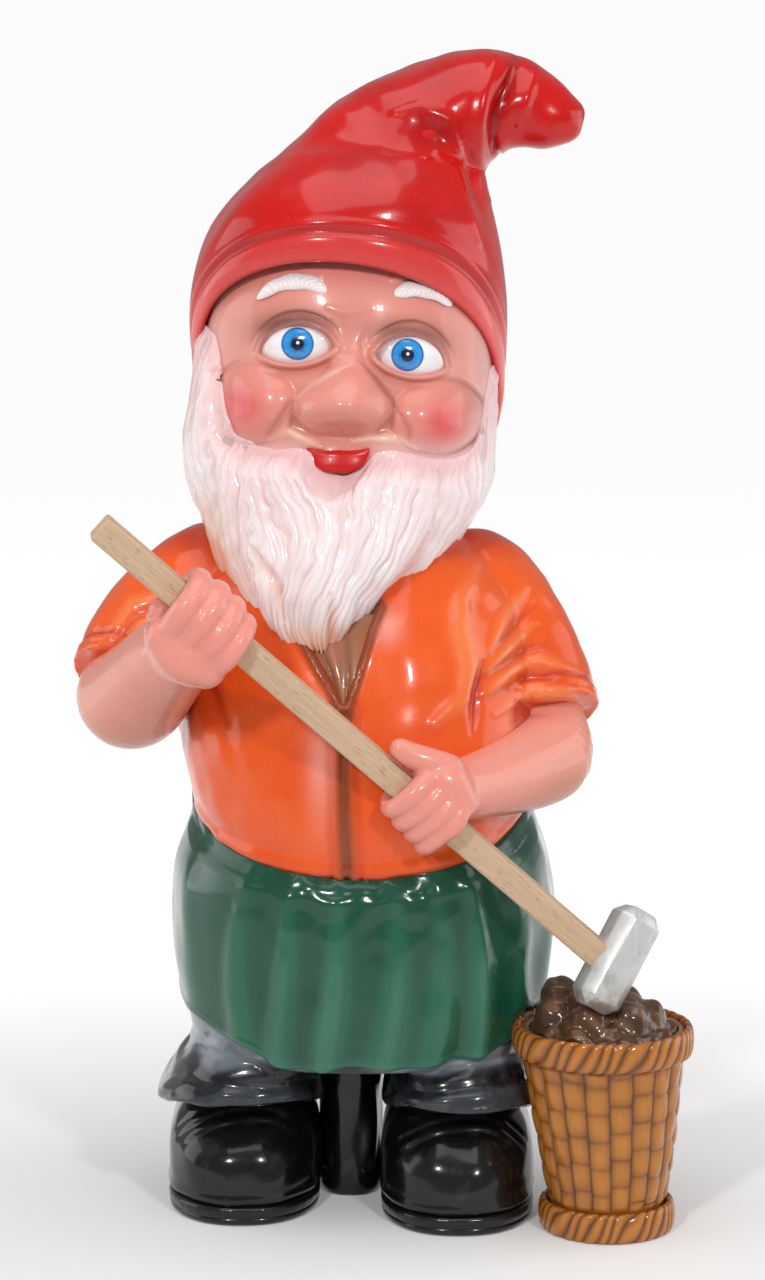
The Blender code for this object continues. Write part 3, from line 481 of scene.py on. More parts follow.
class Finish:
    """A material that is built up in layers."""

    def __init__(self, name):
        self.material = bpy.data.materials.new(name)
        self.material.use_nodes = True
        self.tree = self.material.node_tree
        self.shader = self.tree.nodes["Principled BSDF"]
        self.place = self.node("ShaderNodeTexCoord", output="Object")

    def node(self, kind, settings=None, sockets=None, output=0):
        """Adds a node, sets it up, fills its sockets with values or wires, and gives one output."""
        made = self.tree.nodes.new(kind)
        for setting, value in (settings or {}).items():
            setattr(made, setting, value)
        for key, value in (sockets or {}).items():
            self.fill(made.inputs[key], value)
        return Wire(self, made.outputs[output])

    def fill(self, socket, value):
        if isinstance(value, Wire):
            self.tree.links.new(value.socket, socket)
        elif socket.type == "RGBA" and len(value) == 3:
            socket.default_value = (*value, 1)
        else:
            socket.default_value = value

    def mix(self, first, second, share):
        """One colour over another."""
        settings = {"data_type": "RGBA", "clamp_factor": True}
        return self.node("ShaderNodeMix", settings, {0: share, 6: first, 7: second}, output=2)

    def layer(self, label):
        """The strength of a layer that was brushed on the piece."""
        return self.node("ShaderNodeAttribute", {"attribute_name": label}, output="Fac")

    def noise(self, size, detail=3.0, rough=0.5, place=None):
        """Cloudy variation of about that size in millimetres."""
        sockets = {"Vector": place or self.place, "Scale": 1 / (size * MM), "Detail": detail}
        return self.node("ShaderNodeTexNoise", sockets={**sockets, "Roughness": rough})

    def turned(self, turn=(0, 0, 0), scale=(1, 1, 1), place=None):
        """The piece's own place, turned and stretched."""
        sockets = {"Vector": place or self.place, "Rotation": turn, "Scale": scale}
        return self.node("ShaderNodeMapping", {"vector_type": "POINT"}, sockets)

    def axis(self, letter):
        """One of the piece's own three axes, in metres."""
        return self.node("ShaderNodeSeparateXYZ", sockets={"Vector": self.place}, output=letter)

    def step(self, value, low, high):
        """0 below low and 1 above high, softly."""
        sockets = {"Value": value, "From Min": low, "From Max": high}
        return self.node("ShaderNodeMapRange", {"interpolation_type": "SMOOTHSTEP"}, sockets)

    def bump(self, height, depth, strength=1.0):
        """Fine relief of that depth in millimetres."""
        sockets = {"Height": height, "Distance": depth * MM, "Strength": strength}
        return self.node("ShaderNodeBump", sockets=sockets)

    def coat(self, **values):
        """Sets the shader's own sockets."""
        for key, value in values.items():
            self.fill(self.shader.inputs[key.replace("_", " ")], value)
        return self.material


def enamel(
    name, colour, layers=(), shade=None, gloss=0.24, grain=0.035, clear=0.3, dust=0.05, light=None,
    streaks=None,
):
    """Glossy sprayed paint on a hollow moulding: soft mottling, faint orange peel, dulled patches, and
    layers of other colours, each with its label, colour and strength: sprayed paint, painted shade, painted
    highlights and painted reflections."""
    finish = Finish(name)
    cloud = finish.noise(38, 3)
    speck = finish.noise(2.2, 2)
    darker = shade or tuple(0.84 * c for c in colour)
    paint = finish.mix(colour, darker, finish.step(cloud, 0.42, 0.75) * 0.55)
    if light:
        paint = finish.mix(paint, light, finish.step(finish.noise(22, 2), 0.55, 0.8) * 0.4)
    if streaks:
        stretched = finish.turned(scale=(1, 1, 0.12))
        paint = finish.mix(paint, streaks, finish.step(finish.noise(2.4, 3, 0.6, stretched), 0.5, 0.72) * 0.6)
    for label, tint, strength in layers:
        edge = finish.layer(label) * (0.86 + 0.28 * finish.noise(7, 2))
        paint = finish.mix(paint, tint, edge * strength)
    paint = finish.mix(paint, (0.62, 0.6, 0.57), finish.step(speck, 0.66, 0.8) * dust)
    rough = gloss + 0.10 * finish.step(cloud, 0.4, 0.8) + 0.07 * finish.step(speck, 0.5, 0.75)
    peel = finish.noise(1.6, 2) + 0.6 * finish.noise(9, 2)
    return finish.coat(
        Base_Color=paint,
        Roughness=rough,
        Normal=finish.bump(peel, grain),
        Coat_Weight=clear,
        Coat_Roughness=0.07,
        Specular_IOR_Level=0.3,
    )


# Hat


def hat_surface(at, angle):
    """The cap's skin: at is the row of its table, and angle 0 is the front."""
    x, y, z, lean, half_width, half_depth, rise = flow(numbered(HAT), at)
    lean = np.radians(lean)
    side, ahead = np.sin(angle), np.cos(angle)
    lift = signed_power(ahead, 0.75) * rise * np.where(ahead > 0, 1, 0.85)
    return stack(
        x + np.cos(lean) * half_width * side,
        y - half_depth * ahead,
        z - np.sin(lean) * half_width * side + lift,
    )


# Height, width and line of each fold, as seen from the front
HAT_FOLDS = (
    (-5.5, 4.2, ((92, 672), (87, 655), (80, 636), (79, 618))),
    (3.2, 5, ((80, 672), (74, 654), (69, 634), (70, 612), (76, 590))),
    (2.6, 4.5, ((103, 664), (97, 648), (93, 634))),
    (2.4, 5, ((22, 640), (37, 642), (52, 634), (58, 620))),
    (2.0, 5, ((47, 616), (58, 604), (63, 588), (70, 566))),
    (-1.8, 3.5, ((62, 622), (66, 604), (72, 584))),
    (-1.6, 8, ((-8, 652), (8, 640), (18, 622))),
)
HAT_BACK_FOLDS = (
    (2.6, 8, ((-20, 640), (20, 622), (55, 600), (66, 560))),
    (-2.4, 7, ((0, 652), (35, 640), (70, 618))),
)


def make_hat(sizes, paint):
    at = spread((0, 1.3, 8, 10.5, 13), (40, 128, 54, 28))[:, None]
    angle = full_turn(320)
    points = hat_surface(at, angle)
    normal = outward(points)
    x, _, z = np.moveaxis(points, -1, 0)
    ahead = np.cos(angle)
    front = fade(ahead, -0.2, 0.5)
    above_edge = at * (27.5 - 9.5 * fade(ahead, 0.2, 0.95))
    roll = np.clip(above_edge / 14.5, 0, 1)
    relief = sizes.brim_roll / MM * np.sin(math.pi * roll) ** 0.55 * fade(above_edge, 17, 13)
    relief -= 1.3 * bell((above_edge - 16.5) / 2.2) * (0.4 + 0.6 * front)
    relief += 1.1 * bell((above_edge - 22) / 3.2) * front
    high = fade(at, 1.2, 2.4)
    relief += high * 0.9 * ripple(points, 60, 3)
    relief += high * 0.35 * ripple(points, 22, 4) * fade(z, 560, 620)
    relief += front * (creased(x, z, HAT_FOLDS) - 4.2 * spot(x, z, 46, 628, 13, 9))
    relief += fade(-ahead, -0.1, 0.5) * creased(x, z, HAT_BACK_FOLDS)
    relief *= fade(at, 13, 12)
    points = points + normal * relief[..., None]
    inner_at = np.linspace(0, 8, 30)[:, None]
    lining = hat_surface(inner_at, angle)
    lining = lining - outward(lining) * (4 * fade(inner_at, -0.4, 0.1))[..., None]
    pinch(lining, -1)
    pinch(points, -1)
    edge = 0.5 * (lining[:1] + points[:1])
    edge[..., 2] -= 1.0
    whole = np.concatenate((lining[::-1], edge, points))
    low = fade(z, 560, 490)
    # pale: pink paint fading in above the brim, and along the cap's sides a painted reflection of the bright
    # surroundings
    pale = fade(above_edge, 26, 4) * (0.5 + 0.5 * low)
    pale = pale + 0.5 * fade(np.abs(np.sin(angle)), 0.8, 1.0) * fade(z, 640, 540)
    # deep: painted shade in the sunk fold, in the dent and in the groove above the brim
    deep = front * (
        0.9 * ridge(x, z, ((92, 672), (87, 655), (80, 636), (78, 616)), 5)
        + 0.7 * spot(x, z, 46, 628, 14, 9)
        + 0.5 * bell((above_edge - 17) / 2.6)
    )
    layers = {"pale": pale, "deep": deep}
    zeros = np.zeros((len(lining) + 1, points.shape[1]))
    layers = {k: np.concatenate((zeros, np.broadcast_to(v, points.shape[:2]))) for k, v in layers.items()}
    hat = skin("hat_skin", whole, layers)
    look = enamel(
        "hat enamel",
        tuple(paint.hat),
        # Painted shade in the deep layer; the pale layer holds the brim's pink paint and a painted reflection
        # at the sides
        [("deep", (0.2, 0.002, 0.002), 0.8), ("pale", (0.78, 0.12, 0.11), 0.8)],
        shade=(0.36, 0.004, 0.003),
        gloss=0.2,
        light=(0.66, 0.012, 0.011),
    )
    complete(hat, look, "hat_red", "hat")


# Head


# Height, width and line of each small fold of the face
FACE_FOLDS = (
    (1.0, 1.9, ((-58, 531), (-50, 545), (-34, 552.5), (-18, 546))),
    (0.9, 1.9, ((20, 545), (34, 549), (52, 539))),
    (0.7, 3, ((-16, 530), (-5, 527), (8, 529))),
    (-0.8, 2, ((-14, 522), (-10, 512), (-12, 504))),
    (-0.8, 2, ((6, 520), (4, 510), (7, 501))),
)
CHEEK_FOLDS = (((-36, 478), (-42, 468), (-50, 457)), ((25, 470), (29, 462), (30, 454)))
MOUSTACHE = (
    ((-48, 454.5), (-38.5, 460), (-28, 455.5), (-20, 452)),
    ((-1, 455), (9, 456.8), (22, 456), (34, 450)),
)


def lids(x, z, eye):
    """How far a place is from the middle of an eye's opening, where 1 is on the rim of the lids."""
    middle_x, middle_z, half_width, upper, lower, tilt = EYES[eye]
    c, s = math.cos(math.radians(tilt)), math.sin(math.radians(tilt))
    along = ((x - middle_x) * c + (z - middle_z) * s) / half_width
    rise = (z - middle_z) * c - (x - middle_x) * s
    return along**2 + np.abs(rise / np.where(rise > 0, upper, lower)) ** 1.35, rise, along


def face_relief(x, z):
    """How far the face stands out from the plain skull, and its layers of paint, painted shade and painted
    highlights.
    """
    reach = np.zeros(np.broadcast(x, z).shape)
    crease, shadow, rim = reach.copy(), reach.copy(), reach.copy()
    reach += 1.8 * spot(x, z, -5, 500, 55, 30)
    for eye in EYES:
        opening, rise, along = lids(x, z, eye)
        inner = along if eye == "right" else -along
        upper = fade(rise, -1.5, 1.5)
        hollow = bell(np.hypot(along / 1.35, rise / 24))
        reach -= 3.2 * hollow * fade(opening, 0.9, 1.6)
        reach += upper * 3.6 * bell((opening - 1.22) / 0.27) * fade(np.abs(along), 1.35, 0.8)
        reach -= upper * 1.5 * bell((opening - 1.72) / 0.1) * fade(np.abs(along), 1.25, 0.7)
        reach += (1 - upper) * 2.4 * bell((opening - 1.3) / 0.28) * fade(np.abs(along), 1.35, 0.8)
        reach -= (1 - upper) * 1.0 * bell((opening - 2.2) / 0.3) * fade(np.abs(along), 1.2, 0.6)
        reach = np.where(opening < 1, reach - 8.5 * fade(opening, 1.0, 0.8), reach)
        shadow += upper * fade(opening, 1.02, 1.3) * bell(np.hypot((along + 0.08) / 1.0, (rise - 13) / 8.5))
        shadow += 0.55 * upper * bell((opening - 1.08) / 0.12) * fade(np.abs(along), 1.1, 0.85)
        crease += 0.9 * upper * bell((opening - 1.74) / 0.1) * fade(np.abs(along), 1.15, 0.7)
        crease += 0.7 * (1 - upper) * bell((opening - 1.62) / 0.12) * fade(np.abs(along), 1.05, 0.6)
        rim += bell((opening - 1.08) / 0.12) * (1 - 0.6 * upper)
        reach += 0.8 * bell(np.hypot((inner - 1.15) / 0.25, rise / 6))
    half_width, out = flow(NOSE, np.clip(z, 458, 518))
    across = (x + 5 + 2.5 * fade(z, 495, 470)) / half_width
    nose = out * np.clip(1 - np.abs(across) ** 2.3, 0, 1) ** 0.72
    nose *= 1 + 0.10 * spot(x, z, -5, 475, 11, 8)
    wings = 2.2 * (spot(x, z, -26, 474, 7, 6) + spot(x, z, 16, 470, 7, 6))
    reach = reach + np.where(nose > 0, nose + wings * fade(nose, 0.5, 5), 0)
    edge_of_nose = bell((np.abs(across) - 1.03) / 0.09) * fade(out, 3, 10)
    crease += 0.12 * edge_of_nose + 0.2 * bell((z - 461) / 1.8) * bell((x + 6) / 16)
    crease += 0.9 * ridge(x, z, ((2, 500), (11, 490), (19, 480), (25, 470)), 1.4)
    ledge = ridge(x, z, ((-34, 479), (-25, 487), (-15, 493), (-5, 498)), 1.6)
    reach += 1.3 * ledge
    for (cheek_x, cheek_z, wide, tall), turn in zip(CHEEKS, (1, -1)):
        away = np.hypot((x - cheek_x) / wide, (z - cheek_z) / tall)
        reach += 13 * np.clip(1 - away**2, 0, 1) ** 0.9
        outer = fade(-turn * (x - cheek_x), -0.2 * wide, 0.7 * wide)
        reach -= 1.4 * bell((away - 1.05) / 0.07) * outer
        crease += bell((away - 1.04) / 0.05) * outer * (0.45 if turn > 0 else 0.95)
    moustache = sum(ridge(x, z, line, 3.2) for line in MOUSTACHE)
    reach += 2.6 * moustache
    folds = sum(ridge(x, z, line, 2.2) for line in CHEEK_FOLDS)
    reach += creased(x, z, FACE_FOLDS) - 1.6 * folds
    crease += 0.4 * folds
    reach += 2.2 * spot(x, z, -9, 447, 15, 5)
    # The crease layer is painted shade: in the lid creases, along and under the nose, at the cheeks' outer
    # borders and in the cheek folds
    layers = {
        "crease": np.clip(crease, 0, 1),
        "shadow": np.clip(shadow, 0, 1),
        "rim": np.clip(rim, 0, 1),
        # Painted highlight along the moustache's ridges and the nose's ledge
        "cream_highlight": np.clip(moustache + 0.8 * ledge, 0, 1),
        "rosy": np.clip(sum(bell(np.hypot(x - bx, z - bz) / 11.5) for bx, bz in BLUSHES), 0, 1),
        "pale": np.clip(fade(z, 461, 447) * fade(np.abs(x + 9), 12, 26) + fade(np.abs(x + 5), 66, 84), 0, 1),
        "flush": fade(z, 536, 552),
    }
    return reach, layers


def skull(z, angle):
    """The plain skull, boxier than an egg so that it fills the cap."""
    lift = np.clip(np.abs(z - HEAD[2]) / HEAD_RADII[2], 0, 1)
    share = (1 - lift**2.8) ** (1 / 2.8)
    depth = HEAD_RADII[1] * share
    x, y = oval(angle, HEAD_RADII[0] * share, depth, depth, HEAD_POWER)
    return HEAD[0] + x, HEAD[1] + y


def face_depth(x, z):
    """How far back the surface of the face is."""
    angle = np.arcsin(signed_power(np.clip((x - HEAD[0]) / HEAD_RADII[0], -0.99, 0.99), HEAD_POWER / 2))
    return skull(z, angle)[1] - face_relief(x, z)[0]


def make_head(paint):
    angle = np.radians(spread((-180, -64, 64, 180), (30, 250, 30)))[None, :]
    top = HEAD[2] + HEAD_RADII[2]
    crown = top - 42 * (1 - np.sin(np.linspace(0, math.pi / 2, 18)))
    z = np.concatenate((spread((HEAD_BOTTOM, 430, 546), (8, 190))[:-1], crown))[:, None]
    x, y = skull(z, angle)
    reach, layers = face_relief(x, z)
    ahead = fade(np.cos(angle), 0.12, 0.42)
    y = y - reach * ahead
    points = stack(x, y, z)
    points = raised(points, 0.18 * ahead * ripple(points, 24, 11))
    pinch(points, 0, (HEAD[0], HEAD[1], HEAD_BOTTOM))
    pinch(points, -1)
    layers = {label: values * ahead for label, values in layers.items()}
    head = skin("head_skin", points, layers)
    look = enamel(
        "face enamel",
        tuple(paint.face),
        [
            ("flush", (0.75, 0.2, 0.18), 0.6),
            ("pale", (0.83, 0.56, 0.55), 0.75),
            # Painted highlight on the moustache's ridges and the nose's ledge
            ("cream_highlight", (0.9, 0.66, 0.5), 0.6),
            ("rosy", (0.7, 0.06, 0.07), 0.95),
            ("shadow", (0.1, 0.05, 0.038), 1.0),
            ("rim", (0.72, 0.3, 0.27), 0.5),
            # Painted shade in the face's creases
            ("crease", (0.24, 0.075, 0.05), 0.75),
        ],
        shade=(0.62, 0.205, 0.155),
        gloss=0.27,
        dust=0.02,
    )
    complete(head, look, "skin", "head")


def make_eye(side):
    """A glossy eyeball with a painted iris."""
    middle_x, middle_z, half_width, upper, lower, tilt = EYES[side]
    centre_z = middle_z + (upper - lower) / 2
    _, y = skull(np.array(centre_z), np.arcsin(np.clip((middle_x - HEAD[0]) / HEAD_RADII[0], -1, 1)))
    bpy.ops.mesh.primitive_uv_sphere_add(segments=64, ring_count=40, radius=1)
    ball = bpy.context.active_object
    ball.name = ball.data.name = f"eye_{side}_ball"
    radii = Vector((half_width + 3, 13, (upper + lower) / 2 + 3.5)) * MM
    slope = math.radians(-17 if side == "right" else 17)
    place = Vector((middle_x, float(y) + 11.2, centre_z)) * MM + Vector(DATUM)
    turn = Matrix.Rotation(slope, 4, "Z") @ Matrix.Rotation(math.radians(-tilt), 4, "Y")
    ball.data.transform(Matrix.Translation(place) @ turn @ Matrix.Diagonal((*radii, 1)))
    finish = Finish(f"eye {side}")
    x, z = finish.axis("X"), finish.axis("Z")
    iris_x, iris_z = (v * MM for v in IRISES[side])
    away = ((x - (iris_x + DATUM[0])) ** 2 + (z - iris_z) ** 2) ** 0.5 / (IRIS_RADIUS * MM)
    rays = finish.noise(1.6, 4, 0.7)
    white = finish.mix((0.86, 0.84, 0.85), (0.8, 0.55, 0.54), finish.step(away, 1.25, 2.3) * 0.55)
    blue = finish.mix((0.004, 0.15, 0.52), (0.012, 0.27, 0.68), finish.step(rays, 0.4, 0.62))
    blue = finish.mix(blue, (0.03, 0.36, 0.76), finish.step(away, 0.42, 0.75) * 0.55)
    blue = finish.mix(blue, (0.002, 0.045, 0.25), finish.step(away, 0.84, 0.97) * 0.75)
    colour = finish.mix(blue, white, finish.step(away, 0.97, 1.05))
    pupil = PUPIL_RADIUS / IRIS_RADIUS
    colour = finish.mix((0.002, 0.004, 0.03), colour, finish.step(away, pupil * 0.92, pupil * 1.15))
    glint = ((x - (iris_x + 0.0002 + DATUM[0])) ** 2 + (z - (iris_z + 0.0006)) ** 2) ** 0.5
    colour = finish.mix((0.9, 0.95, 1.0), colour, finish.step(glint, 0.0007, 0.0011))
    look = finish.coat(
        Base_Color=colour,
        Roughness=0.12 + 0.05 * finish.noise(6),
        Coat_Weight=0.8,
        Coat_Roughness=0.03,
        Normal=finish.bump(finish.noise(4), 0.02),
    )
    complete(ball, look, "white", "eye_" + side)


def make_brow(side, look):
    """A raised eyebrow of short swept hairs."""
    middle_x, middle_z, half_length, arch, tilt = BROWS[side]
    t = np.linspace(-1, 1, 121)[None, :]
    s = np.linspace(-1, 1, 41)[:, None]
    blunt = -t if side == "left" else t
    thick = (4.6 + 0.7 * blunt) * np.clip(1 - np.abs(t) ** 4, 0, 1) ** 0.5 * (1 + 0.06 * np.sin(9 * t + 1))
    a = t * half_length + 0 * s
    b = arch * (1 - t**2) - arch * 0.45 + s * thick
    c, d = math.cos(math.radians(tilt)), math.sin(math.radians(tilt))
    x, z = middle_x + a * c - b * d, middle_z + a * d + b * c
    crown = np.clip(1 - s**2, 0, 1) ** 0.6 * np.clip(1 - np.abs(t) ** 5, 0, 1)
    hairs = np.abs(np.sin(math.pi * (7 * t - 1.9 * s * blunt + 0.4 * np.sin(5 * t + 2 * s)))) ** 0.8
    y = face_depth(x, z) + 0.8 - crown * (2.9 + 0.5 * hairs)
    points = stack(x, y, z)
    # Painted shade between the hairs
    layers = {"valley_shade": (1 - hairs) * crown}
    brow = skin(f"eyebrow_{side}_hair", points, layers, wall=1.2, closed=False)
    complete(brow, look, "white", "eyebrow_" + side)


def make_lips(paint):
    """A glossy half moon with a soft line along its upper edge."""
    t = np.linspace(-1, 1, 81)[None, :]
    s = np.linspace(0, 1, 31)[:, None]
    x = -9.8 + 17.6 * t + 0 * s
    top = 451.2 - 1.4 * (1 - t**2) + 0.5 * bell(t / 0.25)
    bottom = top - 12.6 * np.sqrt(np.clip(1 - np.abs(t) ** 2.3, 0, 1)) - 0.1
    z = bottom + (top - bottom) * s
    plump = np.sqrt(np.clip(1 - t**2, 0, 1)) * np.sin(math.pi * np.clip(s, 0.04, 0.96)) ** 0.6
    y = face_depth(x, z) - 1.0 - 2.2 * plump - 3.6 * fade(z, 447, 439)
    lips = skin("lips_relief", stack(x, y, z), wall=3.0, closed=False)
    look = enamel("lip enamel", tuple(paint.lips), shade=(0.42, 0.006, 0.006), gloss=0.3, clear=0.15)
    complete(lips, look, "lip_red", "lips")


# Beard


BEARD_CLEFTS = (
    (1, 3.0, ((-14, 372), (-14, 356), (-12, 336))),
    (1, 3.0, ((-58, 396), (-46, 378), (-40, 356))),
    (1, 2.6, ((42, 402), (30, 380), (14, 362))),
)


def make_beard(sizes, look):
    angle = np.radians(np.linspace(-100, 100, 470))[None, :]
    v = np.linspace(0, 1, 190)[:, None]
    side = np.sin(angle)
    edge_x = -8 + 89 * signed_power(side, 2 / 2.1)
    top = np.interp(edge_x, BEARD_EDGE[:, 0], BEARD_EDGE[:, 1])
    kernel = np.hanning(13)
    top = np.convolve(np.pad(top[0], 6, "edge"), kernel / kernel.sum(), "valid")[None, :]
    tips = 2.6 * np.abs(np.sin(math.pi * (9.5 * side + 0.2)))
    z = (335.5 + tips) + (top - 335.5 - tips) * v
    middle, half_width, front = flow(BEARD, z)
    x, y = oval(angle, half_width, front, 46, 2.1)
    x = x + middle
    below = top - z
    face_x, face_y = skull(z, angle)
    face_out, _ = face_relief(face_x, z)
    face_y = face_y - face_out * fade(np.cos(angle), 0.12, 0.42)
    hug = 1 - fade(below, -2, 17 + 0 * side)
    x = x * (1 - hug) + (face_x + side * 1.6) * hug
    y = y * (1 - hug) + (face_y - 1.6 * np.cos(angle)) * hug
    points = stack(x, y, z)
    normal = outward(points, closed=False)
    drift = 0.22 * ripple(points * (1, 1, 0.45), 46, 21) + 0.05 * ripple(points, 14, 22)
    around = angle / math.pi
    lock = np.abs(np.sin(math.pi * (13 * around + 1.5 * drift))) ** 0.75
    strand = np.abs(np.sin(math.pi * (43 * around + 3.0 * drift + 0.35 * np.sin(v * 9 + 11 * around)))) ** 0.8
    hair = np.abs(np.sin(math.pi * (104 * around + 5.5 * drift + 0.5 * np.sin(v * 17 - 23 * around))))
    alive = 0.55 + 0.45 * ripple(points * (1, 1, 0.5), 20, 23)
    thick = fade(below, 0, 7)
    depth = sizes.strand_depth / MM
    relief = thick * depth * (1.5 * (lock - 0.55) + 1.0 * (strand - 0.6) * np.clip(alive, 0.15, 1.3))
    relief += (0.3 + 0.7 * thick) * depth * 0.3 * (hair - 0.5)
    relief += 1.6 * thick * ripple(points * (1, 1, 0.35), 34, 24)
    cleft = creased(x, z, BEARD_CLEFTS)
    relief -= 2.0 * cleft
    points = points + normal * relief[..., None]
    # Painted shade in the grooves between the locks and strands, and in the clefts
    valley_shade = np.clip(0.75 * (1 - lock) ** 1.6 + 0.6 * (1 - strand) ** 1.5 + 0.6 * cleft, 0, 1)
    degrees = np.degrees(angle)
    turned = np.abs(degrees)
    low_left = fade(x, -30, -78) * fade(z, 440, 385) * fade(np.abs(angle), 0.2, 0.9)
    warm = 0.95 * fade(z, 360, 338) + 0.9 * low_left * fade(turned, 30, 75)
    warm += 0.5 * fade(degrees, 50, 80) * fade(z, 400, 372) + 0.5 * cleft
    pink = 0.7 * fade(below, 16, 1) + 0.45 * fade(below, 75, 5)
    pink = pink + 0.5 * fade(turned, 50, 80) * fade(z, 430, 480)
    layers = {"valley_shade": valley_shade * thick, "warm": warm, "pink": pink}
    beard = skin("beard_hair", *lined(points, normal, 5, layers))
    complete(beard, look, "white", "beard")


def hair_finish(paint):
    """White enamel over modelled hair: painted shade between the strands, pink overspray by the face, an
    orange tint at the tips.
    """
    return enamel(
        "beard enamel",
        tuple(paint.beard),
        [
            # Painted shade between the strands
            ("valley_shade", (0.74, 0.52, 0.52), 0.5),
            ("pink", (0.8, 0.44, 0.44), 0.72),
            ("warm", (0.74, 0.33, 0.14), 0.75),
        ],
        shade=(0.8, 0.7, 0.7),
        gloss=0.26,
        dust=0.0,
        grain=0.03,
    )


# Jacket


def body_points(table, z, angle, grow=0.0):
    middle, half_width, front, back = flow(table, z)
    x, y = oval(angle, half_width + grow, front + grow, back + grow)
    return stack(middle + x, y, z + 0 * angle)


COLLAR_RIGHT = ((-37, 354), (-27, 339), (-15, 320), (-7, 305))
COLLAR_LEFT = ((14, 362), (9, 350), (1, 325), (-6, 304))
PLACKET = ((-6, 304), (-7, 276), (-6, 240), (-4.5, 200))
# Lines of folds as seen from the front, with their heights
RAISED_FOLDS = ((((44, 298), (62, 312), (64, 330), (59, 348), (60, 364), (70, 380)), 3.0, 6.5), (((76, 334),
    (84, 350), (98, 366)), 2.4, 4.2), (((75, 324), (86, 334), (104, 346)), 2.6, 4.0), (((72, 312),
    (86, 321), (106, 326), (128, 318)), 2.6, 4.6), (((78, 300), (100, 309), (120, 307), (134, 296)),
    2.4, 4.4), (((88, 289), (106, 296), (124, 290)), 1.8, 4.0), (((-148, 335), (-129, 358), (-104, 364)),
    2.2, 4.2), (((-146, 322), (-126, 347), (-102, 352)), 2.0, 4.0), (((-72, 268), (-80, 288), (-92, 300)),
    1.6, 5.0), (((-66, 300), (-78, 322), (-84, 342)), 1.8, 5.0), (((70, 262), (84, 274), (98, 278)),
    1.6, 5.0))
SUNK_FOLDS = ((((66, 292), (68, 312), (72, 330)), 3.4, 3.6), (((75, 333), (86, 343), (104, 356)), 1.6, 3.0),
    (((71, 320), (90, 330), (112, 334)), 1.8, 3.2), (((74, 308), (100, 318), (126, 312)), 1.6, 3.2),
    (((-144, 329), (-127, 352), (-104, 358)), 1.5, 3.2), (((-73, 296), (-84, 316), (-90, 336)), 2.2, 4.0),
    (((76, 270), (92, 277)), 1.4, 4.0))


def jacket_relief(places, sizes):
    """Folds, collar, placket and waist hem of the jacket, and its layers of paint, painted shade, highlights
    and reflections among them.
    """
    x, y, z = places.T
    front = fade(y, 12, -22)
    placket, _ = along_line(x, z, PLACKET)
    collar_right, collar_left = along_line(x, z, COLLAR_RIGHT)[0], along_line(x, z, COLLAR_LEFT)[0]
    collar = np.minimum(collar_right, collar_left)
    low = np.clip(z - 305, 0, 60)
    inside = fade(z, 303, 308) * fade(x - (-7 - 0.6 * low), -1.0, 1.5)
    inside = inside * fade((-6 + 0.33 * low) - x, -1.0, 1.5)
    relief = 1.7 * bell((placket - 4) / 1.7) - 1.6 * bell(placket / 1.6) - 0.7 * bell((placket - 8) / 1.6)
    relief += 2.2 * bell(collar / 2.3) - 3.4 * inside * fade(collar, 0.5, 2.5)
    pits = 0.9 * bell((placket - 8) / 2) * 0.4
    for line, high, width in RAISED_FOLDS:
        relief += sizes.fold_depth * high * ridge(x, z, line, width)
    for line, high, width in SUNK_FOLDS:
        dip = ridge(x, z, line, width)
        relief -= sizes.fold_depth * high * dip
        pits = pits + 0.3 * high * dip
    angle = np.arctan2(x, -y)
    gap = z - waist_line(angle) - 3
    on_body = fade(np.abs(x), 104, 96)
    relief = relief * front + on_body * (1.6 * bell((gap - 4) / 4) - 1.0 * bell((gap - 11) / 3))
    back = fade(y, 20, 50)
    relief += back * 1.8 * ridge(x, z, ((0, 384), (2, 330), (0, 260)), 5)
    for side in (-1, 1):
        relief -= back * 1.6 * ridge(x, z, ((side * 60, 380), (side * 48, 330), (side * 55, 280)), 7)
    relief += 0.6 * ripple(places, 60, 31) + 0.3 * ripple(places, 22, 32)
    # Painted highlight along the ridges of the main raised folds
    ridge_highlight = sum(ridge(x, z, line, width) for line, _, width in RAISED_FOLDS[:8])
    # Painted reflection: two pale streaks on the chest
    reflection_haze = spot(x, z, -19, 275, 8, 30) + spot(x, z, 18, 350, 8, 9)
    layers = {
        "brown": front * np.clip(fade(placket, 8, 1.0) + fade(collar, 6, 1.5) + inside, 0, 1),
        # deep: painted shade in the placket's groove and the sunk folds, under the hem, and under the beard
        # at the neck
        "deep": np.clip(front * pits + on_body * 0.5 * fade(gap, 9, 0) + 0.7 * fade(z, 378, 398), 0, 1),
        "ridge_highlight": front * np.clip(ridge_highlight, 0, 1),
        "reflection_haze": front * np.clip(reflection_haze, 0, 1),
    }
    return relief, layers


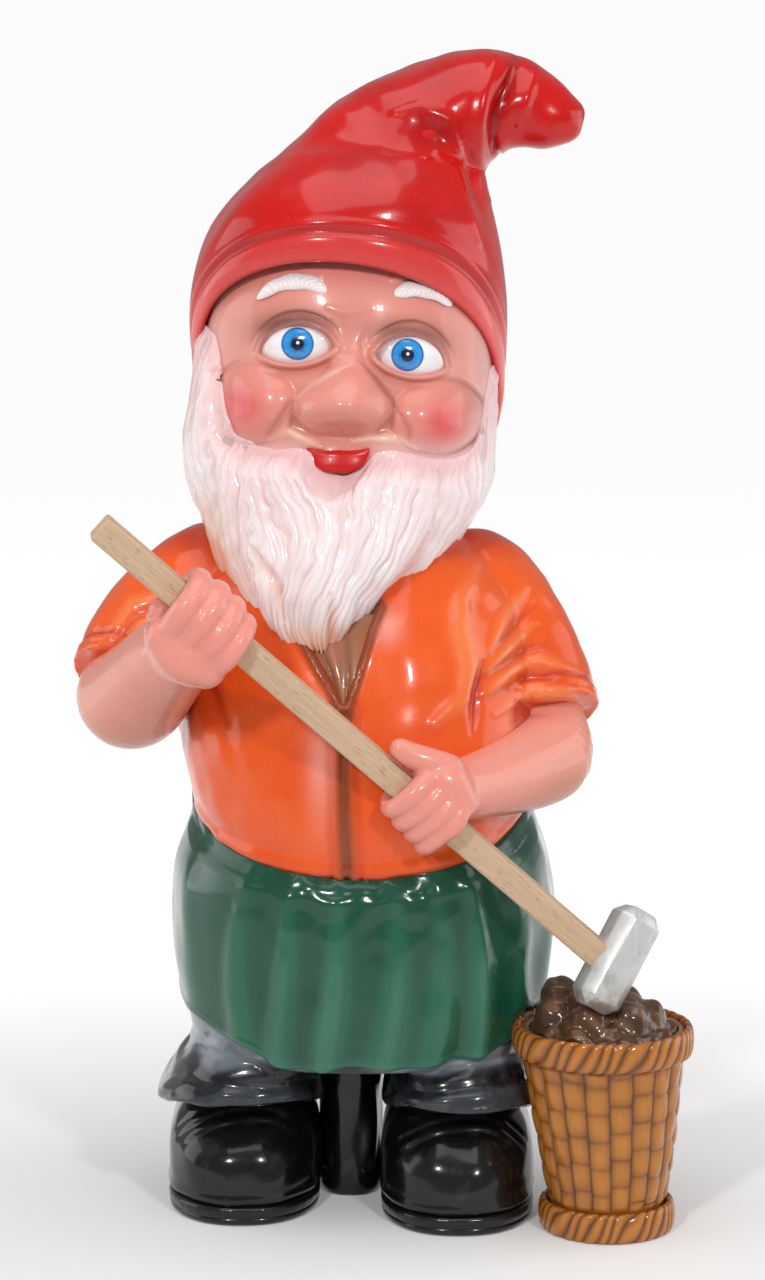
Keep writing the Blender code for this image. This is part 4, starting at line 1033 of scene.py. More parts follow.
def make_jacket(sizes, paint):
    """The jacket and its puffed sleeves, in one skin with soft creases at the shoulders."""
    angle = full_turn(180)
    z = spread((190, 410), (110,))[:, None]
    points = body_points(TORSO, z, angle)
    pinch(points, 0, (2, 0, 190))
    pinch(points, -1, (-4, 0, 410))
    parts = [skin("body", points)] + [sleeve_form(side) for side in SLEEVES]
    jacket = fuse("jacket_cloth", parts, JACKET_GRAIN, 12)
    places = corners(jacket)
    normals = facing(jacket)
    relief, layers = jacket_relief(places, sizes)
    cuff = np.zeros(len(places))
    for side, stations in SLEEVES.items():
        end, before = np.array(stations[-1][:3], float), np.array(stations[-2][:3], float)
        ahead = (end - before) / np.linalg.norm(end - before)
        up_sleeve = (end - places) @ ahead
        near = fade(np.linalg.norm(places - end, axis=1), 52, 44)
        lines = 1.3 * bell((up_sleeve - 3) / 2) + 1.1 * bell((up_sleeve - 8.5) / 2)
        cuff += near * (lines - 1.2 * bell((up_sleeve - 12.5) / 1.6)) * fade(up_sleeve, -1, 0.5)
        # Painted shade in the cuff's groove and inside the sleeve's mouth
        layers["deep"] = np.maximum(layers["deep"], near * 0.8 * bell((up_sleeve - 12.5) / 2))
        layers["deep"] = np.maximum(layers["deep"], near * fade(up_sleeve, 0.2, -0.8))
    place_corners(jacket, places + normals * (relief + cuff)[:, None])
    for label, values in layers.items():
        brush(jacket, label, values)
    modify(jacket, "SMOOTH", iterations=2)
    look = enamel(
        "jacket enamel",
        tuple(paint.jacket),
        [
            # Painted highlight on the fold ridges
            ("ridge_highlight", (0.84, 0.25, 0.08), 0.6),
            # Painted reflection on the chest
            ("reflection_haze", (0.84, 0.42, 0.36), 0.55),
            # Painted shade in folds and grooves, under the hem and under the beard
            ("deep", (0.42, 0.008, 0.006), 0.8),
            ("brown", (0.14, 0.04, 0.015), 0.8),
        ],
        shade=(0.7, 0.065, 0.009),
        gloss=0.23,
        light=(0.8, 0.13, 0.03),
    )
    complete(jacket, look, "jacket_orange", "jacket", "sleeve_left", "sleeve_right")


def sleeve_form(side):
    """A plain short sleeve with a mouth for the arm."""
    centre, tangent, points = tube(SLEEVES[side], 70, 96, (0, 0.3, 1.0))
    mouth = centre[-1] - tangent[-1] * 4
    turned_in = centre[-1] + (points[-1] - centre[-1]) * 0.84 - tangent[-1] * 3
    points = np.concatenate((points, turned_in[None], np.broadcast_to(mouth, turned_in.shape)[None]))
    pinch(points, 0)
    return skin(f"sleeve_{side}", points)


def make_shirt(paint):
    """The shirt in the open collar, with a few pleats."""
    s = np.linspace(0, 1, 70)[:, None]
    t = np.linspace(0, 1, 61)[None, :]
    z = 303 + 55 * s + 0 * t
    x = (-7 - 0.57 * 55 * s) * (1 - t) + (-6 + 0.31 * 55 * s) * t
    angle = np.arcsin(np.clip(x / 104, -0.9, 0.9))
    points = body_points(TORSO, z, angle, -2.2)
    points[..., 0] = x
    pleat = np.abs(np.sin(math.pi * (t * 2.2 + 0.4 * s + 0.2)))
    points[..., 1] -= 1.3 * pleat
    # Painted shade in the valleys of the pleats
    layers = {"valley_shade": (1 - pleat) ** 1.5 + 0 * s, "warm": fade(s, 0.3, 0.9) * bell((t - 0.45) / 0.3)}
    shirt = skin("shirt_cloth", points, layers, wall=2, closed=False)
    look = enamel(
        "shirt enamel", tuple(paint.shirt),
        # The first layer is painted shade in the pleats
        [("valley_shade", (0.12, 0.035, 0.012), 0.7), ("warm", (0.55, 0.2, 0.12), 0.5)],
        shade=(0.2, 0.06, 0.02), gloss=0.3,
    )
    complete(shirt, look, "shirt_brown", "shirt_front")


# Arms


def handle_axes():
    """The batten's own directions: up along it, square to it upwards, and to the front."""
    along = RIGHT_FIST - HAMMER_EYE
    length = np.linalg.norm(along)
    along = along / length
    up = np.array((1.0, 0, 1))
    up -= along * (up @ along)
    up /= np.linalg.norm(up)
    return along, up, -np.cross(along, up), length


# How far along the batten each finger is, its radius and its own shift upwards
FINGERS = {
    "right": ((19.5, 6.9, 0), (7.5, 7.1, 1.5), (-4.5, 6.8, 1), (-15.5, 6.0, -1.5)),
    "left": ((15, 5.7, 0), (5.2, 5.8, -1.5), (-4.6, 5.6, -2.5), (-13.6, 5.2, -4)),
}
# A finger's way round the batten: share of its place along, slide, up, share of its shift, front, growth
FINGER_PATHS = {
    "right": (
        (0.9, -2, -17, 0, 9, 1), (1, -1, -5, 1, 15.5, 0.4), (1, 0, 5, 1, 14.5, 0), (1, 0.5, 11.5, 1, 8, 0),
        (1, 0.5, 13, 1, -3, 0), (1, 0, 8, 1, -12, -0.5), (1, 0, 0, 0, -14, -1),
    ),
    "left": (
        (0.8, -1, 15, 0, 9, 1.6), (1, -1.5, 5, 0, 15, 0.8), (1, -0.5, -4, 0, 14.5, 0.2),
        (1, 0, -11, 1, 9.5, 0), (1, 0, -13, 1, 0, -0.3), (1, 0, -9, 0, -10, -0.6), (1, 0, 0, 0, -13.5, -1),
    ),
}
# Sides, rows and stations of the palm, the heel, the thumb and the back: along, up, front, radius
HAND_LIMBS = {
    "right": (
        (28, 30, ((13, -21, 5, 12.5), (-1, -23, 6, 14.5), (-13, -20, 6, 12))),
        (28, 30, ((-2, -27, -22, 18), (0, -21, -6, 17), (1, -13, 4, 12))),
        (24, 34, ((14, -24, -2, 10), (22, -15, -6, 8.5), (20, -6, -12, 7), (12, 2, -15, 6))),
        (24, 20, ((17, -11, -12, 9), (-15, -11, -12, 9))),
    ),
    "left": (
        (28, 30, ((9, 16, 4, 12), (0, 18, 5, 13), (-10, 15, 5, 11.5))),
        (28, 30, ((-15, 21, -12.4, 15.5), (-8, 17, -3, 14.5), (-2, 11, 5, 11.5))),
        (24, 34, ((4, 24, 2, 9.5), (15, 21.5, 5, 8.2), (26, 17.5, 5, 7.4), (34, 15.5, 4, 6.2))),
        (24, 20, ((13, 11, -11, 8), (-13, 11, -11, 8))),
    ),
}
UPPER_ARMS = {
    "right": ((-100, -2, 352, 22), (-127, -26, 314, 25)),
    "left": ((78, 2, 340, 22), (104, -20, 288, 24)),
}


def fist_middle(side):
    along, _, _, length = handle_axes()
    return RIGHT_FIST if side == "right" else HAMMER_EYE + along * length * LEFT_FIST_SHARE


def hand_parts(side):
    """Palm, fingers and thumb, closed round the batten."""
    along, up, front, _ = handle_axes()
    middle = fist_middle(side)

    def at(a, u, f, radius):
        return (*(middle + along * a + up * u + front * f), radius)

    parts = []
    for place, radius, shift in FINGERS[side]:
        path = [
            at(place * share + slide, u + shift * follow, f, radius + growth)
            for share, slide, u, follow, f, growth in FINGER_PATHS[side]
        ]
        parts.append(limb("finger", path, 24, 40))
    for sides, rows, stations in HAND_LIMBS[side]:
        parts.append(limb("hand", [at(*station) for station in stations], sides, rows))
    return parts


def make_arm(side, look):
    """A bare arm with its fist closed round the batten, in one skin."""
    parts = hand_parts(side)
    parts.append(limb("forearm", FOREARMS[side], 40, 50))
    parts.append(limb("upper_arm", UPPER_ARMS[side], 30, 24))
    middle = fist_middle(side)
    arm = fuse(f"arm_{side}_skin", parts, ARM_GRAIN, 5)
    places = corners(arm)
    wrist = np.array(FOREARMS[side][-1][:3], float)
    from_fist = np.linalg.norm(places - middle, axis=1)
    soft = fade(np.linalg.norm(places - wrist, axis=1), 34, 22) * fade(from_fist, 24, 34)
    group = arm.vertex_groups.new(name="wrist")
    for index in np.nonzero(soft > 0.02)[0]:
        group.add([int(index)], float(soft[index]), "REPLACE")
    modify(arm, "SMOOTH", iterations=60, vertex_group=group.name)
    places = corners(arm)
    from_fist = np.linalg.norm(places - middle, axis=1)
    elbow = np.array(FOREARMS[side][1][:3])
    # Painted shade under the elbow
    under = fade(places[:, 2] - elbow[2], 6, -24) * fade(np.linalg.norm(places - elbow, axis=1), 62, 30)
    brush(arm, "pink", fade(from_fist, 60, 22))
    brush(arm, "tan", under)
    brush(arm, "shade", 0.8 * fade(facing(arm)[:, 2], -0.1, -0.9) * fade(from_fist, 20, 60))
    complete(arm, look, "skin", "arm_" + side)


def arm_finish(paint):
    return enamel(
        "arm enamel", tuple(paint.arms),
        [
            ("pink", (0.79, 0.27, 0.24), 0.35),
            # Painted shade under the elbow
            ("tan", (0.5, 0.19, 0.07), 0.7),
            ("shade", (0.55, 0.17, 0.1), 0.5),
        ],
        shade=(0.7, 0.24, 0.17), gloss=0.25, dust=0.02,
    )


# Trousers and apron


def waist_line(angle):
    """Height of the waist round the figure: lowest at the front."""
    return WAIST_FRONT + WAIST_RISE * (1 - np.cos(angle)) ** 0.8 / 2**0.3


def apron_hem(angle):
    side = np.sin(angle)
    return APRON_HEM + np.where(side < 0, *APRON_HEM_RISE) * side**2


def make_trousers(look, sizes):
    """Hips and two puffed legs with wrinkles round them, in one skin."""
    angle = full_turn(120)
    z = np.linspace(92, 235, 50)[:, None]
    hips = body_points(HIPS, z, angle)
    waist = np.minimum(hips[..., 2], waist_line(angle) - 4 + 0 * z)
    hips = body_points(HIPS, waist, angle)
    pinch(hips, 0, (2, 0, 92))
    pinch(hips, -1, (2, 0, 215))
    parts = [skin("hips", hips)]
    for side, table in TROUSER_LEGS.items():
        z = spread((58, 62, 128), (8, 70))[:, None]
        x, y, half_width, half_depth = flow(table, z)
        dx, dy = oval(angle, half_width, half_depth, half_depth)
        leg = stack(x + dx, y + dy, z + 0 * angle)
        seed = 51 if side == "right" else 55
        sag = z + 4 * ripple(leg * (1, 1, 0.3), 60, seed)
        wrinkle = np.abs(np.sin(sag / 5.2)) ** 0.7 * fade(z, 122, 104) * fade(z, 60, 64)
        puff = 3.2 * sizes.fold_depth * (wrinkle - 0.6) * (0.8 + 0.4 * ripple(leg, 34, seed + 1))
        leg = raised(leg, puff + 1.0 * bell((z - 63) / 2.5))
        leg[..., 2] += 12 * fade(np.cos(angle), 0.0, 0.9) * fade(z, 96, 58)
        pinch(leg, 0, (x[0, 0], y[0, 0], 62))
        pinch(leg, -1, (x[-1, 0], y[-1, 0], 128))
        parts.append(skin("leg_" + side, leg))
    parts.append(limb("crotch", ((-3, -58, 106, 19), (-3, -30, 100, 21), (-3, 30, 100, 21)), 24, 20))
    trousers = fuse("trousers_cloth", parts, TROUSER_GRAIN, 2)
    places = corners(trousers)
    x, y, z = places.T
    low = fade(z, 100, 80)
    # Painted shade between the legs and in the valleys of the wrinkles; the legs also go darker towards the
    # hem
    between = bell((x + 3) / 17) * fade(z, 116, 98)
    sagging = z + 4 * ripple(places * (1, 1, 0.3), 50, 59)
    folds = fade(np.sin(sagging / 5.2), 0.1, -0.9) * fade(z, 118, 102)
    brush(trousers, "dark", 0.85 * low + 0.9 * between + 0.75 * folds)
    worn_and_sheen = fade(ripple(places * (1, 1, 3.2), 26, 58), 0.2, 1.3)
    brush(trousers, "light", worn_and_sheen * fade(z, 80, 92) * fade(z, 140, 118))
    complete(trousers, look, "trouser_grey", "trousers")


def apron_folds(angle, share, sizes):
    """Folds that fan out from the waist: narrow at the top, and deep and wide at the hem."""
    degrees = np.degrees(angle)
    deep = 0
    for middle, width, height in (
        (-84, 8, 1.6), (-62, 7, 1.8), (-34, 5, 3.2), (-20, 4, 4.4), (-7, 3.6, 5.6),
        (6, 4, 4.4), (19, 5, 3.4), (33, 4.5, 4.8), (52, 6, 2.6), (74, 7, 1.8), (92, 8, 1.6),
    ):
        lean = middle * (1 + 0.05 * (1 - share)) + 2.2 * np.sin(3.1 * share + middle)
        deep = deep + height * bell((degrees - lean) / (width * (0.55 + 0.6 * (1 - share))))
    return sizes.fold_depth * deep * (0.2 + 0.8 * fade(share, 0.99, 0.4))


def make_apron(look, sizes):
    angle = np.radians(np.linspace(-APRON_REACH, APRON_REACH, 421))[None, :]
    share = np.linspace(0, 1, 150)[:, None]
    scallop = (1.7 * np.sin(7.2 * angle + 0.6) + 1.3 * np.sin(11.9 * angle + 2)) * fade(share, 0.35, 0)
    z = apron_hem(angle) * (1 - share) + waist_line(angle) * share + scallop
    points = body_points(HIPS, z, angle, 2.2)
    normal = outward(points, closed=False)
    folds = apron_folds(angle, share, sizes)
    relief = folds + 1.5 * (1 - share) + 0.7 * ripple(points, 40, 61) * fade(share, 1, 0.7)
    relief += 0.8 * bell((share - 0.02) / 0.02)
    relief -= 4.0 * fade(share, 0.9, 1.0) * fade(np.cos(angle), -0.1, 0.4)
    crumpled = fade(share, 0.55, 0.85) * fade(share, 1.0, 0.96) * bell(angle / 0.5)
    relief += 1.1 * crumpled * ripple(points, 15, 62)
    clear = basket_clearance(points)
    points = points + normal * relief[..., None]
    points[..., 0] -= clear
    turned_in = body_points(TORSO, waist_line(angle) + 3, angle, 0.8)
    lip = []
    for s in (0.2, 0.4, 0.6, 0.8, 1):
        lip.append(points[-1:] * (1 - s) + turned_in * s + (0, 0, 1.5 * math.sin(math.pi * s)))
    points = np.concatenate((points, *lip))
    folds = np.concatenate((folds, np.repeat(folds[-1:], len(lip), axis=0)))
    share = np.concatenate((share, np.ones((len(lip), 1))))
    highest = sizes.fold_depth * 5
    layers = {
        # Painted shade in the valleys between the folds
        "deep": fade(folds, highest * 0.45, 0) * 0.75,
        # Painted highlight on the crests of the folds and on the bead along the hem
        "worn_and_sheen": fade(folds, highest * 0.5, highest) + bell(share / 0.02),
    }
    apron = skin("apron_cloth", *lined(points, outward(points, closed=False), 2.2, layers))
    complete(apron, look, "apron_green", "apron")


def basket_clearance(points):
    """How far a place has to move to the right to stay clear of the basket's rim."""
    away = np.hypot(points[..., 0] - BASKET[0], points[..., 1] - BASKET[1])
    low = fade(points[..., 2], 128, 118)
    return np.clip(BASKET_WALL[-1, 1] + ROPE_WIDTH + 3 - away, 0, 14) * low


def make_apron_tie(look):
    """The band round the back, with its bow."""
    angle = np.radians(np.linspace(APRON_REACH - 1, 360 - APRON_REACH + 1, 161))[None, :]
    across = np.linspace(-1, 1, 19)[:, None]
    z = waist_line(angle) - 10.5 + across * 6.5
    points = body_points(HIPS, z, angle, 1.2)
    bulge = 2.2 * np.sqrt(1 - 0.9 * across**2) + 0 * angle
    band = skin("band", raised(points, bulge, closed=False), wall=2.5, closed=False)
    y, z0 = 92, float(waist_line(math.pi)) - 11
    parts = [band]
    for turn in (-1, 1):
        loop = []
        for t in np.linspace(0, TAU, 9):
            reach, rise = 17 * (1 - math.cos(t)) / 2, math.sin(t)
            across_back = 3 + turn * (2 + 1.35 * reach)
            loop.append((across_back, y - 2 + 1.5 * rise, z0 + 5.5 * rise + 0.12 * reach, 2.4))
        parts.append(limb(f"loop_{turn}", loop, 16, 60))
        tail = []
        for s in (0, 0.35, 0.7, 1):
            tail.append((3 + turn * (2 + 7 * s), y - 1.5 + 1.5 * s, z0 - 4 - 30 * s, 3.4 - 0.8 * s))
        parts.append(limb(f"tail_{turn}", tail, 16, 30))
    parts.append(limb("knot", ((-0.5, y, z0, 5.6), (6.5, y, z0, 5.6)), 20, 20))
    tie = fuse("apron_tie_cloth", parts, TIE_GRAIN, 4)
    places = corners(tie)
    brush(tie, "deep", fade(ripple(places, 12, 65), 0.5, 1.4))
    brush(tie, "worn_and_sheen", fade(ripple(places, 9, 66), 0.8, 1.6))
    complete(tie, look, "apron_green", "apron_tie")


# Shoes


def make_shoe(side, look, sole_look):
    spot = SHOES[side]
    angle = full_turn(160)
    lift = np.concatenate((spread((0, 6, 66), (10, 80)), (66.0, 66.0)))[:, None]
    shift, half_width, half_length = flow(SHOE, lift)
    half_width = half_width - np.where(np.arange(len(lift))[:, None] == len(lift) - 2, 4, 0)
    dx, dy = oval(angle, half_width, half_length, half_length, 2.25)
    ahead = np.cos(angle)
    points = stack(spot[0] + dx, spot[1] + shift + dy, SOLE_HEIGHT + 0.3 + lift + 0 * angle)
    y = points[..., 1]
    toe = fade(ahead, 0.35, 0.8)
    relief = 1.6 * bell((lift - 3) / 3) + 1.2 * toe * bell((lift - 24) / 9)
    crossing = (y - spot[1]) + 0.5 * lift
    for place, high in ((-24, 0.9), (-15, 1.1), (-7, 0.8)):
        crease = bell((crossing - place - 2 * np.sin(angle * 3)) / 2.4)
        relief = relief - high * crease * fade(lift, 26, 40) * fade(ahead, 0.0, 0.3)
    relief = relief + 0.5 * ripple(points, 24, 71)
    points = raised(points, relief * fade(lift, 66, 60))
    pinch(points, -1, (spot[0], spot[1] + 19, SOLE_HEIGHT + 66))
    base = points[:1].copy()
    pinch(base, 0, (spot[0], spot[1], SOLE_HEIGHT + 0.3))
    shoe = skin(f"shoe_{side}_upper", np.concatenate((base, points)), {"worn_and_sheen": 0.0})
    places = corners(shoe)
    brush(shoe, "worn_and_sheen", fade(ripple(places, 14, 72), 0.7, 1.6) * 0.6)
    complete(shoe, look, "shoe_black", "shoe_" + side)
    heights, out = (column[:, None] for column in SOLE_EDGE.T)
    dx, dy = oval(angle, 45 + out, 64 + out, 64 + out, 2.3)
    waisted = 2.4 * bell((np.abs(angle) - 1.75) / 0.35)
    dx = dx * (1 - waisted / 45)
    sole = stack(spot[0] + dx, spot[1] + dy, heights + 0 * angle)
    grip = 0.35 * np.abs(np.sin(angle * 60)) * fade(heights, 4.6, 5.4) * fade(heights, 10.2, 9.4)
    sole = raised(sole, grip)
    ends = [sole[:1].copy(), sole[-1:].copy()]
    pinch(ends[0], 0, (spot[0], spot[1], 0))
    pinch(ends[1], 0, (spot[0], spot[1], SOLE_HEIGHT))
    piece = skin(f"sole_{side}_rubber", np.concatenate((ends[0], sole, ends[1])))
    complete(piece, sole_look, "shoe_black", "sole_" + side, sharp=50)


def make_post(look):
    """The dark wrinkled skin of the post between the shoes."""
    angle = full_turn(120)
    z = spread((0.4, 2, 100), (3, 70))[:, None]
    x, y = oval(angle, 20 + 0 * z, 40, 40, 2.8)
    points = stack(-4 + x, 12 + y, z)
    relief = 0.8 * ripple(points * (1, 1, 0.35), 16, 75) * fade(z, 2, 12) - fade(z, 2, 0.4)
    post = skin("post_skin", raised(points, relief - 1.2), wall=1.4, closed=False)
    brush(post, "worn_and_sheen", fade(ripple(corners(post), 12, 76), 0.4, 1.4))
    complete(post, look, "shoe_black")


# Basket, ore and hammer


def make_basket(look, sizes):
    columns, rows = 480, 180
    angle = full_turn(columns)
    z = np.linspace(0, 118, rows)[:, None]
    (radius,) = flow(BASKET_WALL, z)
    around = angle / TAU * STAVES
    cell = np.floor(around)
    rib = np.abs(np.sin(math.pi * around))
    brick = z / BRICK_HEIGHT + 0.5 * np.mod(cell, 2) + 0.2 * np.sin(cell * 2.3)
    bump = np.abs(np.sin(math.pi * brick)) ** 0.35
    rib = rib**0.45
    weave = 2.1 * rib * (0.3 + 0.7 * bump)
    show = fade(z, 15, 20) * fade(z, 104, 99)
    outside = radius + sizes.weave_depth * (weave - 1.0) * show
    lean = BASKET_LEAN * fade(z, 20, 118)
    side, ahead = np.sin(angle), np.cos(angle)
    points = stack(BASKET[0] + lean + outside * side, BASKET[1] - outside * ahead, z)
    inner_z = np.array((118.0, 112, 60, 4))[:, None]
    (inner,) = flow(BASKET_WALL, inner_z)
    inside = stack(
        BASKET[0] + BASKET_LEAN * fade(inner_z, 20, 118) + (inner - 3.5) * side,
        BASKET[1] - (inner - 3.5) * ahead,
        inner_z,
    )
    ends = [points[:1].copy(), inside[-1:].copy()]
    pinch(ends[0], 0, (*BASKET, 0))
    pinch(ends[1], 0, (*BASKET, 4))
    points[..., :2] += (0.35 * ripple(points * (1, 1, 0.4), 9, 87) * show)[..., None] * stack(side, -ahead)
    whole = np.concatenate((ends[0], points, inside, ends[1]))
    dark = (1 - rib) * 0.9 + (1 - bump) * 0.6 + 0.3 * fade(ripple(points, 22, 88), 0.2, 1.2)
    dark = np.clip(dark, 0, 1) * show
    layers = {
        # The inside rows are painted fully dark: painted shade inside the basket
        "dark": np.concatenate((np.zeros((1, columns + 1)), dark, np.ones((5, columns + 1)))),
        # Painted highlight on the bricks' crests
        "amber_highlight": np.concatenate((np.zeros((1, columns + 1)), rib * bump * show, np.zeros((5, columns + 1)))),
    }
    basket = skin("basket_weave", whole, layers)
    complete(basket, look, "basket_brown", "basket")


def make_rope(name, middle_z, wall_radius, lean, strands, look, node, sizes):
    """A ring of slanting twisted strands round the basket."""
    columns = 540
    around = full_turn(columns)
    turn = np.linspace(0, TAU, 49)[:, None]
    half = ROPE_HEIGHT / 2
    uneven = 0.25 * np.sin(around * 5 + 1) + 0.2 * np.sin(around * 11)
    twist = np.abs(np.sin(math.pi * (around / TAU * strands + turn / TAU * 3.0 + uneven)))
    swell = sizes.weave_depth * 1.3 * (twist**0.65 - 0.6)
    out = (ROPE_WIDTH / 2 - 1.3 + swell) * signed_power(np.sin(turn), 0.8)
    up = (half + swell * 0.5) * signed_power(np.cos(turn), 0.9)
    ring = wall_radius + 1.2 + out + (ROPE_WIDTH / 2 - 1.3)
    points = stack(BASKET[0] + lean + ring * np.sin(around), BASKET[1] - ring * np.cos(around), middle_z + up)
    # The amber layer is a painted highlight on the strands' crests on the outer face
    layers = {"dark": (1 - twist) ** 1.6, "amber_highlight": twist**2 * fade(np.sin(turn), 0, 0.8)}
    points[..., 2] = np.maximum(points[..., 2], 0.0)
    rope = skin(name, points, layers)
    complete(rope, look, "basket_brown", node)


# How many lumps a ring has, how far out and how high it lies, and the lumps' radius
ORE_RINGS = ((17, 35, 115, 9.5), (13, 25, 122, 10.5), (8, 14, 130, 11))
ORE_PEAKS = (
    (-28, -6, 130, 12), (-24, 10, 138, 12), (24, -4, 128, 12), (14, -16, 130, 12), (-10, -20, 130, 12),
    (2, 18, 138, 13),
)


def make_ore(paint):
    """Glossy lumps heaped in the basket, where the hammer's head is stuck in."""
    random = np.random.default_rng(83)
    centre = np.array((BASKET[0] + BASKET_LEAN, BASKET[1]))
    lumps = [(0, 0, 124, 30), (-6, -4, 130, 20), (8, 6, 131, 18)]
    for ring, (count, away, height, size) in enumerate(ORE_RINGS):
        for k in range(count):
            turn = TAU * (k + 0.5 * ring) / count + random.uniform(-0.12, 0.12)
            wide = away + random.uniform(-2, 2)
            r = size * random.uniform(0.8, 1.2)
            lumps.append((wide * math.sin(turn), -wide * math.cos(turn), height + random.uniform(-2, 3), r))
    lumps += ORE_PEAKS
    angle = full_turn(320)
    share = np.linspace(1, 0, 110)[:, None]
    radius = 43.2 * share
    x, y = radius * np.sin(angle), -radius * np.cos(angle)
    z = np.full(np.broadcast(x, y).shape, 112.0)
    for lx, ly, lz, r in lumps:
        inside = np.clip(r**2 - (x - lx) ** 2 - (y - ly) ** 2, 0, None)
        z = np.where(inside > 0, np.maximum(z, lz - 0.35 * r + 0.9 * np.sqrt(inside)), z)
    points = stack(centre[0] + x, centre[1] + y, z)
    points[..., 2] += 0.8 * ripple(points, 9, 84) * fade(share, 1, 0.9)
    base = points[:1].copy()
    base[..., 2] = 102
    floor = base.copy()
    pinch(floor, 0, (*centre, 102))
    points = np.concatenate((floor, base, points))
    pinch(points, -1)
    ore = skin("ore_lumps", points)
    modify(ore, "SMOOTH", iterations=7)
    places = corners(ore)
    brush(ore, "dust", fade(ripple(places, 13, 85), 0.1, 1.2))
    look = enamel(
        "ore enamel", tuple(paint.ore), [("dust", (0.22, 0.12, 0.06), 0.6)],
        shade=(0.035, 0.018, 0.01), gloss=0.15, clear=0.6,
    )
    complete(ore, look, "ore_brown", "ore")


def make_hammer(paint):
    """A square block with chamfered corners."""
    along = handle_axes()[0]
    axis = HAMMER_AXIS / np.linalg.norm(HAMMER_AXIS)
    face = along - axis * (along @ axis)
    face /= np.linalg.norm(face)
    cross = np.cross(axis, face)
    bpy.ops.mesh.primitive_cube_add(size=2)
    head = bpy.context.active_object
    head.name = head.data.name = "hammer_steel"
    length = (HAMMER_ABOVE + HAMMER_BELOW) / 2
    head.data.transform(Matrix.Diagonal((HAMMER_SIDE / 2 * MM, HAMMER_SIDE / 2 * MM, length * MM, 1)))
    bpy.ops.object.mode_set(mode="EDIT")
    bpy.ops.mesh.select_all(action="SELECT")
    bpy.ops.mesh.bevel(offset=HAMMER_CHAMFER * MM, segments=1)
    bpy.ops.mesh.normals_make_consistent(inside=False)
    bpy.ops.object.mode_set(mode="OBJECT")
    middle = (HAMMER_MIDDLE + axis * (HAMMER_ABOVE - HAMMER_BELOW) / 2) * MM + DATUM
    turn = Matrix((face, cross, axis)).transposed().to_4x4()
    head.data.transform(Matrix.Translation(middle) @ turn)
    modify(head, "BEVEL", width=1.1 * MM, segments=3, limit_method="ANGLE", angle_limit=math.radians(20))
    finish = Finish("hammer silver")
    cloud = finish.noise(14, 4, 0.6)
    scratch = finish.noise(3, 5, 0.7, finish.turned((0.5, 0.3, 0.2), (1, 1, 0.2)))
    height = finish.axis("Z")
    colour = finish.mix(tuple(paint.hammer), (0.3, 0.28, 0.25), finish.step(cloud, 0.5, 0.72) * 0.45)
    stained = finish.step(height, 0.158, 0.132) * finish.step(finish.noise(9, 3), 0.3, 0.6)
    colour = finish.mix(colour, (0.2, 0.11, 0.06), stained * 0.75)
    look = finish.coat(
        Base_Color=colour,
        Metallic=0.35,
        Roughness=0.3 + 0.2 * finish.step(scratch, 0.45, 0.7),
        Coat_Weight=0.4,
        Coat_Roughness=0.1,
        Normal=finish.bump(scratch + 0.5 * cloud, 0.06),
    )
    complete(head, look, "hammer_grey", "hammer_head", sharp=25)


def wood_finish(paint):
    """Planed hardwood: long fine grain with short dark flecks."""
    along, up, front, _ = handle_axes()
    turn = Matrix((along, up, -front)).to_euler()
    finish = Finish("planed beech")
    own = finish.turned(tuple(turn))
    grain = finish.turned(scale=(0.045, 1, 1), place=own)
    wide = finish.noise(5.5, 4, 0.55, grain)
    fine = finish.noise(1.0, 5, 0.65, grain)
    flecks = finish.turned(scale=(0.16, 1, 1), place=own)
    fleck = finish.step(finish.noise(1.1, 2, 0.5, flecks), 0.6, 0.72)
    colour = finish.mix(tuple(paint.wood), (0.47, 0.31, 0.19), finish.step(wide, 0.4, 0.66) * 0.6)
    colour = finish.mix(colour, (0.7, 0.54, 0.39), finish.step(fine, 0.48, 0.7) * 0.5)
    colour = finish.mix(colour, (0.25, 0.14, 0.075), fleck * 0.5)
    return finish.coat(
        Base_Color=colour,
        Roughness=0.55 + 0.2 * fine,
        Normal=finish.bump(fine + wide + -0.8 * fleck, 0.12),
    )


# Stage


def stand(piece, place, aim):
    """Puts a lamp or the camera in its place, looking at its aim."""
    piece.location = place
    piece.rotation_euler = (aim - piece.location).to_track_quat("-Z", "Y").to_euler()
    bpy.context.scene.collection.objects.link(piece)


